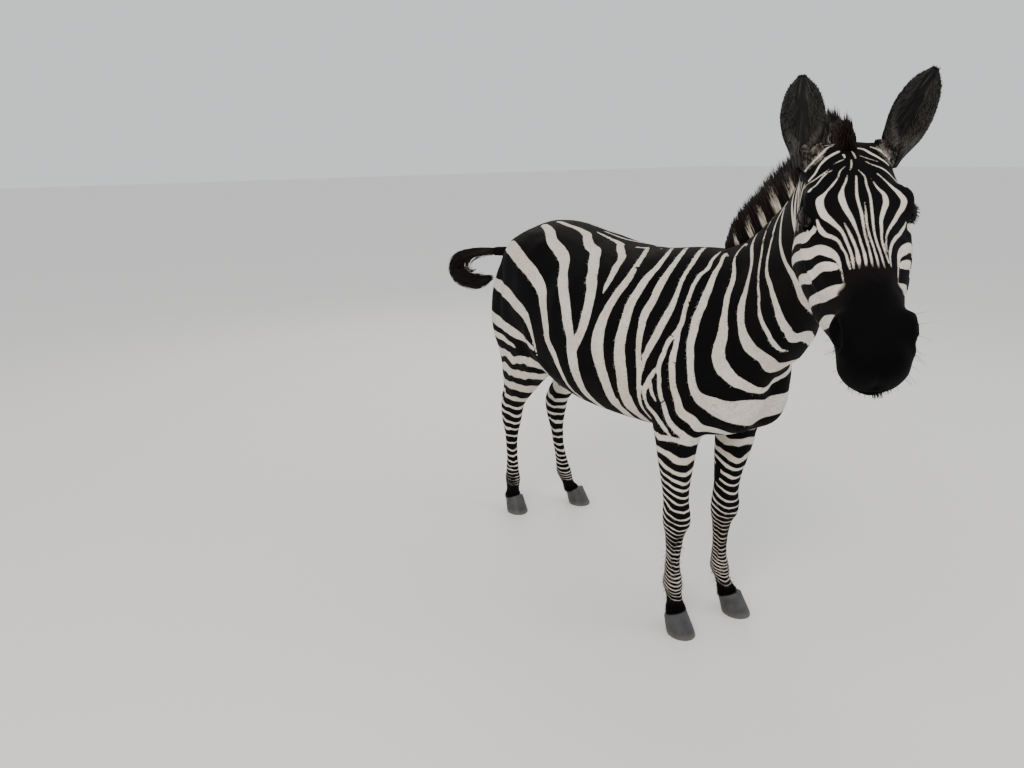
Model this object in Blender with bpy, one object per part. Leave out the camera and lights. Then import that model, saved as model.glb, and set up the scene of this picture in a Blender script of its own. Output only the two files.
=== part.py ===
"""Plains zebra, standing with its head turned to its right, as a life-size still model.

Metres, +Z up. The animal faces -Y, its left side is +X, and its soles stand on z = 0. It is
shaped in its own frame, whose x = 0 is the midline of the trunk, and is moved at the end so
that the middle of its ground plan is the origin. The flesh is lofted and merged whole, and
then parted with thin cuts into trunk, neck, head and legs.
"""

import math

import bmesh
import bpy
from mathutils import Matrix, Vector

GAP = 0.0003  # between pieces that touch
FLESH_GRAIN = 0.005  # cell size of the grid that merges the flesh
HEAD_TRIANGLES = 1850
TRUNK_TRIANGLES = 2300  # with the neck
LEG_TRIANGLES = 2000

SOFTENING = 140  # smoothing passes over the merged flesh

# The middle of the ground plan, in the animal's own frame.
PLAN_MIDDLE = Vector((-0.1353, -0.1715, 0.0))

# Trunk, front to rear: y, height of back, height of belly, height of widest level, half width.
TRUNK_SECTIONS = (
    (-0.655, 0.990, 0.850, 0.920, 0.055),
    (-0.615, 1.090, 0.775, 0.920, 0.118),
    (-0.550, 1.200, 0.718, 0.920, 0.166),
    (-0.450, 1.268, 0.686, 0.930, 0.192),
    (-0.330, 1.270, 0.668, 0.930, 0.212),
    (-0.150, 1.252, 0.655, 0.930, 0.255),
    (0.050, 1.262, 0.655, 0.930, 0.282),
    (0.220, 1.292, 0.682, 0.950, 0.275),
    (0.380, 1.310, 0.745, 1.010, 0.250),
    (0.500, 1.290, 0.800, 1.030, 0.228),
    (0.600, 1.225, 0.860, 1.040, 0.185),
    (0.665, 1.150, 0.920, 1.040, 0.125),
    (0.705, 1.090, 0.970, 1.030, 0.060),
)
TRUNK_STEPS = 64

# Muscles that swell the outline: centre, radii and tilt about X in degrees; each side has one.
MUSCLES = (
    ((0.105, -0.440, 0.960), (0.088, 0.140, 0.215), 18.0),  # shoulder blade
    ((0.112, -0.390, 0.840), (0.082, 0.140, 0.140), 0.0),  # upper arm
    ((0.092, -0.525, 0.905), (0.084, 0.105, 0.150), 0.0),  # point of the shoulder
    ((0.048, -0.570, 0.870), (0.066, 0.080, 0.140), 0.0),  # breast
    ((0.100, 0.390, 1.120), (0.140, 0.230, 0.165), 0.0),  # croup
    ((0.085, 0.560, 1.010), (0.110, 0.130, 0.200), 0.0),  # buttock
    ((0.158, 0.345, 0.800), (0.070, 0.085, 0.110), 0.0),  # stifle
)

# Neck, from inside the chest to inside the head.
NECK_PATH = (
    (0.000, -0.395, 1.020),
    (-0.030, -0.610, 1.130),
    (-0.105, -0.780, 1.275),
    (-0.195, -0.905, 1.395),
    (-0.285, -1.005, 1.490),
)
# Share of the neck's length, half width, reach up to the crest, reach down to the throat.
NECK_SECTIONS = (
    (0.00, 0.150, 0.235, 0.250),
    (0.25, 0.120, 0.200, 0.208),
    (0.50, 0.094, 0.165, 0.165),
    (0.75, 0.080, 0.132, 0.135),
    (0.90, 0.076, 0.112, 0.128),
    (1.00, 0.068, 0.085, 0.110),
)
NECK_STEPS = 40

# Head: its frame stands on the poll, with axes along the face, to its left and up off the face.
POLL = Vector((-0.307, -1.037, 1.560))
FACE_AXIS = Vector((-0.467, -0.567, -0.679)).normalized()
FACE_LEFT = Vector((0.757, -0.653, 0.025))
FACE_LEFT = (FACE_LEFT - FACE_LEFT.dot(FACE_AXIS) * FACE_AXIS).normalized()
FACE_UP = FACE_AXIS.cross(FACE_LEFT).normalized()
HEAD_REACH = 0.66  # the whole head is nearer to the poll than this
# Distance from the poll, height of face line, of widest level and of jaw line, half width.
HEAD_SECTIONS = (
    (-0.050, -0.040, -0.090, -0.180, 0.058),
    (-0.010, -0.006, -0.070, -0.220, 0.080),
    (0.060, 0.012, -0.058, -0.252, 0.090),
    (0.120, 0.017, -0.055, -0.270, 0.098),
    (0.180, 0.013, -0.058, -0.270, 0.099),
    (0.240, 0.006, -0.062, -0.262, 0.096),
    (0.300, 0.000, -0.064, -0.240, 0.083),
    (0.350, -0.004, -0.066, -0.211, 0.067),
    (0.400, -0.008, -0.070, -0.178, 0.060),
    (0.450, -0.013, -0.074, -0.151, 0.062),
    (0.490, -0.024, -0.080, -0.138, 0.061),
    (0.510, -0.040, -0.086, -0.130, 0.050),
    (0.522, -0.062, -0.094, -0.118, 0.028),
)
HEAD_STEPS = 60
# Swellings of the head in its own frame: centre (along, left, up) and radii; each side has one.
HEAD_SWELLINGS = (
    ((0.152, 0.076, -0.022), (0.050, 0.036, 0.028)),  # brow over the eye
    ((0.212, 0.066, -0.068), (0.075, 0.036, 0.032)),  # cheek bone under the eye
    ((0.150, 0.050, -0.150), (0.100, 0.044, 0.095)),  # chewing muscle
    ((0.300, 0.034, -0.045), (0.090, 0.026, 0.034)),  # side of the nose
    ((0.428, 0.044, -0.046), (0.042, 0.034, 0.036)),  # nostril
    ((0.476, 0.026, -0.086), (0.042, 0.040, 0.038)),  # upper lip
    ((0.455, 0.016, -0.124), (0.048, 0.036, 0.026)),  # chin
    ((0.010, 0.068, -0.034), (0.036, 0.030, 0.036)),  # root of the ear
)
NOSTRIL_CENTRE = (0.440, 0.078, -0.046)
NOSTRIL_RADII = (0.024, 0.020, 0.011)
NOSTRIL_TURN = 38.0  # degrees, its front end turned down
EYE_CENTRE = (0.180, 0.091, -0.036)
EYE_RADIUS = 0.0205
EYE_OPENING = (0.0185, 0.030, 0.0125)  # half length, reach and half height of the lid opening

# Ears: share of the length, half width, depth of the cup, and how far round its edges reach.
EAR_LENGTH = 0.176
EAR_THICKNESS = 0.006
EAR_SECTIONS = (
    (-0.12, 0.024, 0.024, 168.0),
    (0.02, 0.026, 0.026, 165.0),
    (0.12, 0.033, 0.029, 150.0),
    (0.28, 0.041, 0.028, 112.0),
    (0.45, 0.045, 0.024, 96.0),
    (0.62, 0.043, 0.019, 90.0),
    (0.78, 0.035, 0.014, 88.0),
    (0.90, 0.023, 0.009, 86.0),
    (0.97, 0.013, 0.006, 84.0),
    (1.00, 0.006, 0.004, 80.0),
)
EAR_ARC_POINTS = 8
EAR_STEPS = 11
EAR_ROOT = (0.012, 0.084, -0.028)  # in the head's frame
EARS = {
    # side, the way its tip points, and the way its cup opens
    "ear_right": (-1.0, (0.190, 0.280, 0.940), (-0.72, -0.66, 0.0)),
    "ear_left": (1.0, (0.320, -0.210, 0.925), (-0.50, -0.85, 0.0)),
}

# Mane: share of its length, height over the crest, half thickness at its foot.
MANE_SECTIONS = (
    (0.00, 0.058, 0.018),
    (0.05, 0.084, 0.022),
    (0.14, 0.100, 0.024),
    (0.40, 0.142, 0.022),
    (0.70, 0.144, 0.022),
    (0.88, 0.116, 0.018),
    (1.00, 0.036, 0.012),
)
MANE_STEPS = 13
MANE_ROOT_DEPTH = 0.030
MANE_OUTLINE = ((1.0, 0.0), (0.92, 0.6), (0.55, 0.95), (0.0, 1.0), (-0.55, 0.95), (-0.92, 0.6), (-1.0, 0.0))

# Tail: path and radius, from inside the rump, out and round to the tip of the tassel.
TAIL_PATH = (
    (0.000, 0.600, 1.125),
    (-0.018, 0.700, 1.150),
    (-0.075, 0.790, 1.152),
    (-0.138, 0.870, 1.145),
    (-0.178, 0.935, 1.115),
    (-0.190, 0.955, 1.070),
    (-0.170, 0.910, 1.028),
    (-0.132, 0.845, 1.022),
    (-0.095, 0.785, 1.045),
)
TAIL_RADII = (
    (0.00, 0.034),
    (0.18, 0.030),
    (0.40, 0.021),
    (0.55, 0.024),
    (0.72, 0.032),
    (0.88, 0.030),
    (1.00, 0.010),
)
TAIL_STEPS = 24
TAIL_SIDES = 8
TAIL_SPLITS = {"tail_dock": (0.0, 0.34), "tail_bend": (0.34, 0.60), "tail_tassel": (0.60, 1.0)}

# Legs: height, reach to the front, reach to the back, half thickness.
FORELEG_SECTIONS = (
    (0.920, 0.105, 0.105, 0.070),
    (0.800, 0.105, 0.110, 0.070),
    (0.720, 0.087, 0.089, 0.065),
    (0.640, 0.070, 0.068, 0.058),
    (0.560, 0.056, 0.055, 0.048),
    (0.480, 0.046, 0.044, 0.041),
    (0.425, 0.049, 0.045, 0.046),
    (0.385, 0.046, 0.046, 0.044),
    (0.340, 0.031, 0.040, 0.033),
    (0.260, 0.025, 0.033, 0.026),
    (0.195, 0.029, 0.036, 0.029),
    (0.155, 0.034, 0.041, 0.035),
    (0.115, 0.028, 0.030, 0.029),
    (0.080, 0.032, 0.032, 0.035),
    (0.040, 0.037, 0.037, 0.040),
)
HINDLEG_SECTIONS = (
    (1.120, 0.170, 0.170, 0.085),
    (1.000, 0.205, 0.205, 0.100),
    (0.900, 0.205, 0.205, 0.104),
    (0.820, 0.190, 0.190, 0.092),
    (0.750, 0.160, 0.172, 0.077),
    (0.680, 0.120, 0.142, 0.061),
    (0.620, 0.086, 0.110, 0.049),
    (0.575, 0.068, 0.100, 0.044),
    (0.540, 0.060, 0.084, 0.043),
    (0.500, 0.055, 0.066, 0.044),
    (0.450, 0.048, 0.053, 0.041),
    (0.390, 0.035, 0.041, 0.032),
    (0.300, 0.026, 0.033, 0.026),
    (0.200, 0.030, 0.035, 0.029),
    (0.155, 0.038, 0.044, 0.036),
    (0.115, 0.031, 0.032, 0.030),
    (0.080, 0.033, 0.033, 0.034),
    (0.040, 0.037, 0.037, 0.039),
)
LEG_STEPS = 56
# Each leg's middle line, from its top down to the coronet, then the middle and turn of its sole.
LEGS = {
    "foreleg_left": {
        "path": (
            (0.122, -0.420, 0.920),
            (0.135, -0.408, 0.720),
            (0.104, -0.415, 0.560),
            (0.082, -0.424, 0.395),
            (0.108, -0.402, 0.150),
            (0.126, -0.432, 0.060),
        ),
        "sole": (0.133, -0.462),
        "turn": 8.0,
    },
    "foreleg_right": {
        "path": (
            (-0.120, -0.420, 0.920),
            (-0.133, -0.408, 0.720),
            (-0.127, -0.405, 0.560),
            (-0.118, -0.408, 0.405),
            (-0.102, -0.392, 0.153),
            (-0.108, -0.420, 0.060),
        ),
        "sole": (-0.113, -0.449),
        "turn": 0.0,
    },
    "hindleg_left": {
        "path": (
            (0.135, 0.450, 1.120),
            (0.145, 0.438, 0.900),
            (0.142, 0.435, 0.750),
            (0.118, 0.518, 0.600),
            (0.098, 0.592, 0.490),
            (0.138, 0.582, 0.145),
            (0.176, 0.572, 0.060),
        ),
        "sole": (0.196, 0.548),
        "turn": 14.0,
    },
    "hindleg_right": {
        "path": (
            (-0.135, 0.450, 1.120),
            (-0.148, 0.440, 0.900),
            (-0.146, 0.440, 0.750),
            (-0.132, 0.530, 0.600),
            (-0.122, 0.602, 0.505),
            (-0.100, 0.645, 0.152),
            (-0.094, 0.660, 0.060),
        ),
        "sole": (-0.088, 0.632),
        "turn": -4.0,
    },
}
LEG_LINE = 0.68  # the legs stand free of the trunk below this
KNEE_CUT = {"foreleg": 0.345, "hindleg": 0.430}  # where the lower leg starts
# Columns that take a leg out of the flesh: middle x (of a left leg), y, radii and top.
LEG_COLUMN = {
    "foreleg": (0.150, -0.408, 0.136, 0.128, 0.790),
    "hindleg": (0.158, 0.480, 0.148, 0.250, 0.940),
}
COLUMN_SIDES = 12
COLUMN_BEVEL = 0.060

HOOF_SOLE = (0.046, 0.054)  # half width, half length
HOOF_TOP = (0.0385, 0.0385)
HOOF_TOP_BACK = 0.030  # the coronet's middle lies this far behind the sole's
HOOF_TOP_HEIGHT = 0.061
HOOF_TOP_SLOPE = math.radians(24.0)
HOOF_SIDES = 18

# Planes that part the neck: a point on each, and the way to the head.
NECK_ROOT_PLANE = ((0.0, -0.560, 1.160), (-0.08, -0.90, 0.42))
HEAD_ROOT_PLANE = (POLL - 0.034 * FACE_AXIS, FACE_AXIS + 0.17 * FACE_UP)
HEAD_BOX = 0.36  # half the side of the box that takes the head


# ---- small tools ----


def eased(knots, at):
    """Value at a place among (place, value, ...) knots, on a smooth curve through them."""
    at = min(max(at, knots[0][0]), knots[-1][0])
    i = max(k for k in range(len(knots) - 1) if knots[k][0] <= at)
    before = knots[max(i - 1, 0)]
    start = knots[i]
    end = knots[i + 1]
    after = knots[min(i + 2, len(knots) - 1)]
    span = end[0] - start[0]
    x = (at - start[0]) / span
    values = []
    for a, b, c, d in zip(before[1:], start[1:], end[1:], after[1:]):
        slope_b = (c - a) / (end[0] - before[0]) * span
        slope_c = (d - b) / (after[0] - start[0]) * span
        value = (2 * x**3 - 3 * x**2 + 1) * b + (x**3 - 2 * x**2 + x) * slope_b
        value += (3 * x**2 - 2 * x**3) * c + (x**3 - x**2) * slope_c
        values.append(value)
    return values


def along(points, share):
    """Point and direction at a share of the length of a smooth curve through the points."""
    places = [0.0]
    for a, b in zip(points, points[1:]):
        places.append(places[-1] + (Vector(b) - Vector(a)).length)
    knots = [(place, *point) for place, point in zip(places, points)]
    step = 0.002
    place = share * places[-1]
    here = Vector(eased(knots, place))
    ahead = Vector(eased(knots, min(place + step, places[-1])))
    behind = Vector(eased(knots, max(place - step, 0.0)))
    return here, (ahead - behind).normalized()


def oval(centre, side, up, half_width, above, below, fullness=2.0, base=2.2, count=32):
    """Ring of points round a centre; more fullness squares its top, and more base its foot."""
    points = []
    for k in range(count):
        angle = 2 * math.pi * k / count
        across = math.copysign(abs(math.cos(angle)) ** (2 / 2.2), math.cos(angle))
        power = fullness if math.sin(angle) > 0 else base
        rise = math.copysign(abs(math.sin(angle)) ** (2 / power), math.sin(angle))
        reach = above if rise > 0 else below
        points.append(centre + side * (half_width * across) + up * (reach * rise))
    return points


def mesh_object(name, points, faces):
    mesh = bpy.data.meshes.new(name)
    mesh.from_pydata([tuple(p) for p in points], [], faces)
    tool = bmesh.new()
    tool.from_mesh(mesh)
    bmesh.ops.recalc_face_normals(tool, faces=tool.faces)
    tool.to_mesh(mesh)
    tool.free()
    made = bpy.data.objects.new(name, mesh)
    bpy.context.scene.collection.objects.link(made)
    return made


def loft(name, rings):
    """Closed shell through rings of equal count, capped with a face at each end."""
    count = len(rings[0])
    points = [p for ring in rings for p in ring]
    faces = [list(range(count))]
    for r in range(len(rings) - 1):
        for k in range(count):
            a = r * count + k
            b = r * count + (k + 1) % count
            faces.append([a, b, b + count, a + count])
    faces.append([len(points) - count + k for k in range(count)])
    return mesh_object(name, points, faces)


def ellipsoid(name, centre, radii, turn=None, segments=24, rings=14):
    tool = bmesh.new()
    bmesh.ops.create_uvsphere(tool, u_segments=segments, v_segments=rings, radius=1.0)
    frame = Matrix.Translation(centre) @ (turn or Matrix()) @ Matrix.Diagonal((*radii, 1.0))
    bmesh.ops.transform(tool, matrix=frame, verts=tool.verts)
    mesh = bpy.data.meshes.new(name)
    tool.to_mesh(mesh)
    tool.free()
    made = bpy.data.objects.new(name, mesh)
    bpy.context.scene.collection.objects.link(made)
    return made


def settle(obj):
    """Turns an object's modifiers into its own mesh."""
    graph = bpy.context.evaluated_depsgraph_get()
    graph.update()
    mesh = bpy.data.meshes.new_from_object(obj.evaluated_get(graph))
    obj.modifiers.clear()
    obj.data = mesh
    return obj


def combine(name, objects):
    """One object that holds the shells of several, which it removes."""
    tool = bmesh.new()
    for obj in objects:
        tool.from_mesh(obj.data)
        bpy.data.objects.remove(obj)
    mesh = bpy.data.meshes.new(name)
    tool.to_mesh(mesh)
    tool.free()
    made = bpy.data.objects.new(name, mesh)
    bpy.context.scene.collection.objects.link(made)
    return made


def shape_with(obj, operation, cutter, keep_cutter=False):
    """Boolean of an object with a cutter, settled at once."""
    step = obj.modifiers.new("shape", "BOOLEAN")
    step.operation = operation
    step.solver = "EXACT"
    step.object = cutter
    settle(obj)
    if not keep_cutter:
        bpy.data.objects.remove(cutter)
    return obj


def copy_of(obj, name):
    made = obj.copy()
    made.data = obj.data.copy()
    made.name = name
    bpy.context.scene.collection.objects.link(made)
    return made


def swollen(obj, by=GAP):
    """Copy of an object, grown along its normals, that cuts a neighbour with a gap."""
    made = copy_of(obj, "swollen")
    grow = made.modifiers.new("grow", "DISPLACE")
    grow.strength = by
    grow.mid_level = 0.0
    return settle(made)


def half_space(point, normal, shift=0.0, reach=1.0):
    """Box whose one face has the point at its middle and which lies on the normal's side."""
    tool = bmesh.new()
    bmesh.ops.create_cube(tool, size=2 * reach)
    up = Vector(normal).normalized()
    turn = up.to_track_quat("Z", "Y").to_matrix().to_4x4()
    place = Vector(point) + up * (reach + shift)
    bmesh.ops.transform(tool, matrix=Matrix.Translation(place) @ turn, verts=tool.verts)
    mesh = bpy.data.meshes.new("half_space")
    tool.to_mesh(mesh)
    tool.free()
    made = bpy.data.objects.new("half_space", mesh)
    bpy.context.scene.collection.objects.link(made)
    return made


def largest_body(obj):
    """Keeps only the largest loose part of an object."""
    tool = bmesh.new()
    tool.from_mesh(obj.data)
    tool.verts.ensure_lookup_table()
    left = set(tool.verts)
    parts = []
    while left:
        seed = left.pop()
        part = {seed}
        front = [seed]
        while front:
            vert = front.pop()
            for edge in vert.link_edges:
                other = edge.other_vert(vert)
                if other in left:
                    left.discard(other)
                    part.add(other)
                    front.append(other)
        parts.append(part)
    parts.sort(key=len)
    spare = [v for part in parts[:-1] for v in part]
    bmesh.ops.delete(tool, geom=spare, context="VERTS")
    tool.to_mesh(obj.data)
    tool.free()
    return obj


def finish_material(name, colour, roughness):
    made = bpy.data.materials.new(name)
    made.use_nodes = True
    shader = made.node_tree.nodes["Principled BSDF"]
    shader.inputs["Base Color"].default_value = (*colour, 1.0)
    shader.inputs["Roughness"].default_value = roughness
    shader.inputs["Metallic"].default_value = 0.0
    return made


def head_point(place):
    """Point of the body's frame from (along, left, up) in the head's frame."""
    return POLL + FACE_AXIS * place[0] + FACE_LEFT * place[1] + FACE_UP * place[2]


def head_turn():
    return Matrix((FACE_AXIS, FACE_LEFT, FACE_UP)).transposed().to_4x4()


# ---- flesh ----


def trunk_shell():
    start = TRUNK_SECTIONS[0][0]
    length = TRUNK_SECTIONS[-1][0] - start
    rings = []
    for k in range(TRUNK_STEPS + 1):
        y = start + length * k / TRUNK_STEPS
        back, belly, middle, half = eased(TRUNK_SECTIONS, y)
        centre = Vector((0.0, y, middle))
        ring = oval(centre, Vector((1, 0, 0)), Vector((0, 0, 1)), half, back - middle, middle - belly, 1.9)
        rings.append(ring)
    return loft("trunk_shell", rings)


def neck_ring(share, grow=0.0):
    """Centre, side, up, half width and reaches of the neck at a share of its length."""
    centre, ahead = along(NECK_PATH, share)
    half, above, below = eased(NECK_SECTIONS, share)
    lean = Vector((0, 0, 1)).lerp(FACE_UP, 0.5 * share)
    side = ahead.cross(lean).normalized() * -1.0
    up = ahead.cross(side).normalized()
    if up.z < 0:
        up.negate()
    return centre, side, up, half + grow, above, below


def neck_shell():
    rings = []
    for k in range(NECK_STEPS + 1):
        centre, side, up, half, above, below = neck_ring(k / NECK_STEPS)
        rings.append(oval(centre, side, up, half, above, below, 1.6))
    return loft("neck_shell", rings)


def head_shell():
    start = HEAD_SECTIONS[0][0]
    length = HEAD_SECTIONS[-1][0] - start
    rings = []
    for k in range(HEAD_STEPS + 1):
        place = start + length * k / HEAD_STEPS
        face, middle, jaw, half = eased(HEAD_SECTIONS, place)
        centre = head_point((place, 0.0, middle))
        rings.append(oval(centre, FACE_LEFT, FACE_UP, half, face - middle, middle - jaw, 2.5, 2.5))
    return loft("head_shell", rings)


def leg_shell(name):
    leg = LEGS[name]
    sections = FORELEG_SECTIONS if name.startswith("fore") else HINDLEG_SECTIONS
    rows = [(-z, x, y) for x, y, z in leg["path"]]
    widths = [(-height, front, back, half) for height, front, back, half in sections]
    top = leg["path"][0][2]
    bottom = sections[-1][0]
    rings = []
    for k in range(LEG_STEPS + 1):
        height = top + (bottom - top) * k / LEG_STEPS
        x, y = eased(rows, -height)
        front, back, half = eased(widths, -height)
        centre = Vector((x, y, height))
        rings.append(oval(centre, Vector((1, 0, 0)), Vector((0, 1, 0)), half, back, front, 2.0, 2.2, 24))
    return loft(name + "_shell", rings)


def muscles():
    made = []
    for centre, radii, tilt in MUSCLES:
        turn = Matrix.Rotation(math.radians(tilt), 4, "X")
        for side in (-1.0, 1.0):
            place = (side * centre[0], centre[1], centre[2])
            made.append(ellipsoid("muscle", place, radii, turn))
    return made


def head_swellings():
    made = []
    for centre, radii in HEAD_SWELLINGS:
        for side in (-1.0, 1.0):
            place = head_point((centre[0], side * centre[1], centre[2]))
            made.append(ellipsoid("swelling", place, radii, head_turn()))
    return made


def near_head(point):
    """How much a point belongs to the head, from 0 to 1."""
    place = (point - POLL).dot(FACE_AXIS)
    forward = min(max((place + 0.09) / 0.08, 0.0), 1.0)
    near = min(max((HEAD_REACH - (point - POLL).length) / 0.08, 0.0), 1.0)
    return forward * near


def flesh():
    """The whole animal's flesh as one closed mesh."""
    shells = [trunk_shell(), neck_shell(), head_shell(), *muscles(), *head_swellings()]
    for name in LEGS:
        shells.append(leg_shell(name))
    body = combine("flesh", shells)
    merge = body.modifiers.new("merge", "REMESH")
    merge.mode = "VOXEL"
    merge.voxel_size = FLESH_GRAIN
    settle(body)
    soft = body.vertex_groups.new(name="soft")
    for vert in body.data.vertices:
        head = near_head(vert.co)
        low = min(max((LEG_LINE + 0.04 - vert.co.z) / 0.1, 0.0), 1.0)
        soft.add([vert.index], 1.0 - 0.75 * max(head, low), "REPLACE")
    soften = body.modifiers.new("soften", "SMOOTH")
    soften.factor = 0.5
    soften.iterations = SOFTENING
    soften.vertex_group = "soft"
    triangulate = body.modifiers.new("triangulate", "TRIANGULATE")
    triangulate.min_vertices = 4
    settle(body)
    thin_out(body, TRUNK_TRIANGLES, lambda point: near_head(point) < 0.5 and point.z >= LEG_LINE)
    thin_out(body, LEG_TRIANGLES, lambda point: near_head(point) < 0.5 and point.z < LEG_LINE)
    thin_out(body, HEAD_TRIANGLES, lambda point: near_head(point) >= 0.5)
    return body


def thin_out(obj, count, belongs):
    """Reduces the part of a mesh whose points belong to a count of triangles."""
    obj.vertex_groups.clear()
    group = obj.vertex_groups.new(name="thin")
    inside = [belongs(vert.co) for vert in obj.data.vertices]
    group.add([k for k, taken in enumerate(inside) if taken], 0.5, "REPLACE")
    kept = sum(not any(inside[k] for k in face.vertices) for face in obj.data.polygons)
    fewer = obj.modifiers.new("fewer", "DECIMATE")
    fewer.ratio = (kept + count) / len(obj.data.polygons)
    fewer.vertex_group = "thin"
    settle(obj)
    obj.vertex_groups.clear()


# ---- ears, eyes, hooves, mane and tail ----


def ear_shell(name):
    flank, tip, opening = EARS[name]
    root = head_point((EAR_ROOT[0], flank * EAR_ROOT[1], EAR_ROOT[2]))
    tip = Vector(tip).normalized()
    opening = Vector(opening)
    opening = (opening - opening.dot(tip) * tip).normalized()
    side = opening.cross(tip)
    rings = []
    for k in range(EAR_STEPS + 1):
        share = -0.12 + 1.12 * k / EAR_STEPS
        half, depth, edge = eased(EAR_SECTIONS, share)
        centre = root + tip * (EAR_LENGTH * share)
        filled = min(max((0.16 - share) / 0.12, 0.0), 1.0)
        outer = []
        inner = []
        for a in range(EAR_ARC_POINTS):
            angle = math.radians(edge) * (2 * a / (EAR_ARC_POINTS - 1) - 1)
            across = side * math.sin(angle)
            back = opening * -math.cos(angle)
            outer.append(centre + across * half + back * depth)
            wall = EAR_THICKNESS + filled * (min(half, depth) * 0.8 - EAR_THICKNESS)
            wall = min(wall, 0.8 * min(half, depth))
            inner.append(centre + across * (half - wall) + back * (depth - wall))
        rings.append(outer + inner[::-1])
    return loft(name, rings)


def eye_ball(name):
    side = 1.0 if name.endswith("left") else -1.0
    centre = head_point((EYE_CENTRE[0], side * EYE_CENTRE[1], EYE_CENTRE[2]))
    return ellipsoid(name, centre, (EYE_RADIUS,) * 3, head_turn(), 14, 8)


def eye_socket(side):
    """Cutters for the ball's seat and for the opening between the lids."""
    centre = head_point((EYE_CENTRE[0], side * EYE_CENTRE[1], EYE_CENTRE[2]))
    seat = ellipsoid("seat", centre, (EYE_RADIUS + GAP,) * 3, head_turn(), 14, 8)
    outward = (EYE_CENTRE[0], side * (EYE_CENTRE[1] + 0.022), EYE_CENTRE[2] - 0.001)
    opening = ellipsoid("opening", head_point(outward), EYE_OPENING, head_turn(), 14, 8)
    return seat, opening


def nostril(side):
    turn = head_turn() @ Matrix.Rotation(math.radians(NOSTRIL_TURN), 4, "Y")
    centre = head_point((NOSTRIL_CENTRE[0], side * NOSTRIL_CENTRE[1], NOSTRIL_CENTRE[2]))
    return ellipsoid("nostril", centre, NOSTRIL_RADII, turn, 16, 10)


def hoof_frame(name):
    x, y = LEGS[name]["sole"]
    turn = Matrix.Rotation(math.radians(LEGS[name]["turn"]), 4, "Z")
    return Matrix.Translation((x, y, 0.0)) @ turn


def hoof_ring(half_width, half_length, back, height, slope):
    """Level or sloping ring of a hoof, rounder at the toe than at the heel."""
    ring = []
    for k in range(HOOF_SIDES):
        angle = 2 * math.pi * k / HOOF_SIDES
        along_y = -math.cos(angle) * half_length
        if along_y > 0:
            along_y *= 0.88
        across = math.sin(angle) * half_width
        ring.append(Vector((across, back + along_y, height - math.tan(slope) * along_y)))
    return ring


def hoof(name, leg):
    rings = [
        hoof_ring(*HOOF_SOLE, 0.0, 0.0, 0.0),
        hoof_ring(HOOF_SOLE[0] * 0.995, HOOF_SOLE[1] * 0.99, 0.002, 0.006, 0.0),
        hoof_ring(*HOOF_TOP, HOOF_TOP_BACK, HOOF_TOP_HEIGHT, HOOF_TOP_SLOPE),
    ]
    made = loft(name, rings)
    made.data.transform(hoof_frame(leg))
    return made


def hoof_space(leg):
    """Half space under the coronet, which the leg leaves to its hoof."""
    frame = hoof_frame(leg)
    point = frame @ Vector((0.0, HOOF_TOP_BACK, HOOF_TOP_HEIGHT + GAP))
    normal = frame.to_3x3() @ Vector((0.0, -math.sin(HOOF_TOP_SLOPE), -math.cos(HOOF_TOP_SLOPE)))
    return half_space(point, normal)


def crest_point(share):
    """Point on the crest and its up direction; share 0 is the forelock, 1 the withers."""
    forelock = head_point((0.026, -0.004, 0.0))
    poll = head_point((-0.035, 0.0, -0.012))
    line = [forelock, poll]
    ups = [
        FACE_UP * 0.55 + Vector((0, 0, 0.65)) - FACE_LEFT * 0.22,
        FACE_UP * 0.35 + Vector((0, 0, 0.8)) - FACE_LEFT * 0.10,
    ]
    for k in (0.88, 0.70, 0.52, 0.36, 0.22):
        centre, _side, up, _half, above, _below = neck_ring(k)
        line.append(centre + up * above)
        ups.append(up)
    line.append(Vector((0.0, -0.440, 1.272)))
    ups.append(Vector((0, -0.3, 1.0)))
    here, ahead = along([tuple(p) for p in line], share)
    place = share * (len(ups) - 1)
    i = min(int(place), len(ups) - 2)
    up = ups[i].normalized().lerp(ups[i + 1].normalized(), place - i)
    up = (up - up.dot(ahead) * ahead).normalized()
    return here, ahead, up


def mane_shell():
    rings = []
    for k in range(MANE_STEPS + 1):
        share = k / MANE_STEPS
        here, ahead, up = crest_point(share)
        height, half = eased(MANE_SECTIONS, share)
        side = ahead.cross(up)
        low = here - up * MANE_ROOT_DEPTH
        ring = []
        for across, rise in MANE_OUTLINE:
            ring.append(low + side * (half * across) + up * ((height + MANE_ROOT_DEPTH) * rise))
        rings.append(ring)
    return loft("mane", rings)


def tail_length(name, start, end):
    """One length of the tail; its ends are square to its path."""
    steps = max(round(TAIL_STEPS * (end - start)), 4)
    rings = []
    for k in range(steps + 1):
        share = start + (end - start) * k / steps
        here, ahead = along(TAIL_PATH, share)
        if k == 0 and start > 0:
            here = here + ahead * GAP
        radius = eased(TAIL_RADII, share)[0]
        side = ahead.cross(Vector((0.80, 0.10, 0.10))).normalized()
        up = ahead.cross(side).normalized()
        rings.append(oval(here, side, up, radius, radius, radius, 2.0, 2.0, TAIL_SIDES))
    return loft(name, rings)


# ---- parting ----


def column(name, grow=0.0):
    """Column that takes one leg out of the flesh."""
    kind, side_name = name.split("_")
    x, y, radius_x, radius_y, top = LEG_COLUMN[kind]
    side = 1.0 if side_name == "left" else -1.0
    rings = []
    for height, share in ((-0.05, 1.0), (top - COLUMN_BEVEL, 1.0), (top, 0.8)):
        ring = []
        for k in range(COLUMN_SIDES):
            angle = 2 * math.pi * k / COLUMN_SIDES
            reach_x = radius_x * share + grow
            reach_y = radius_y * share + grow
            ring.append(
                Vector((side * x + reach_x * math.cos(angle), y + reach_y * math.sin(angle), height + grow))
            )
        rings.append(ring)
    return loft("column", rings)


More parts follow.
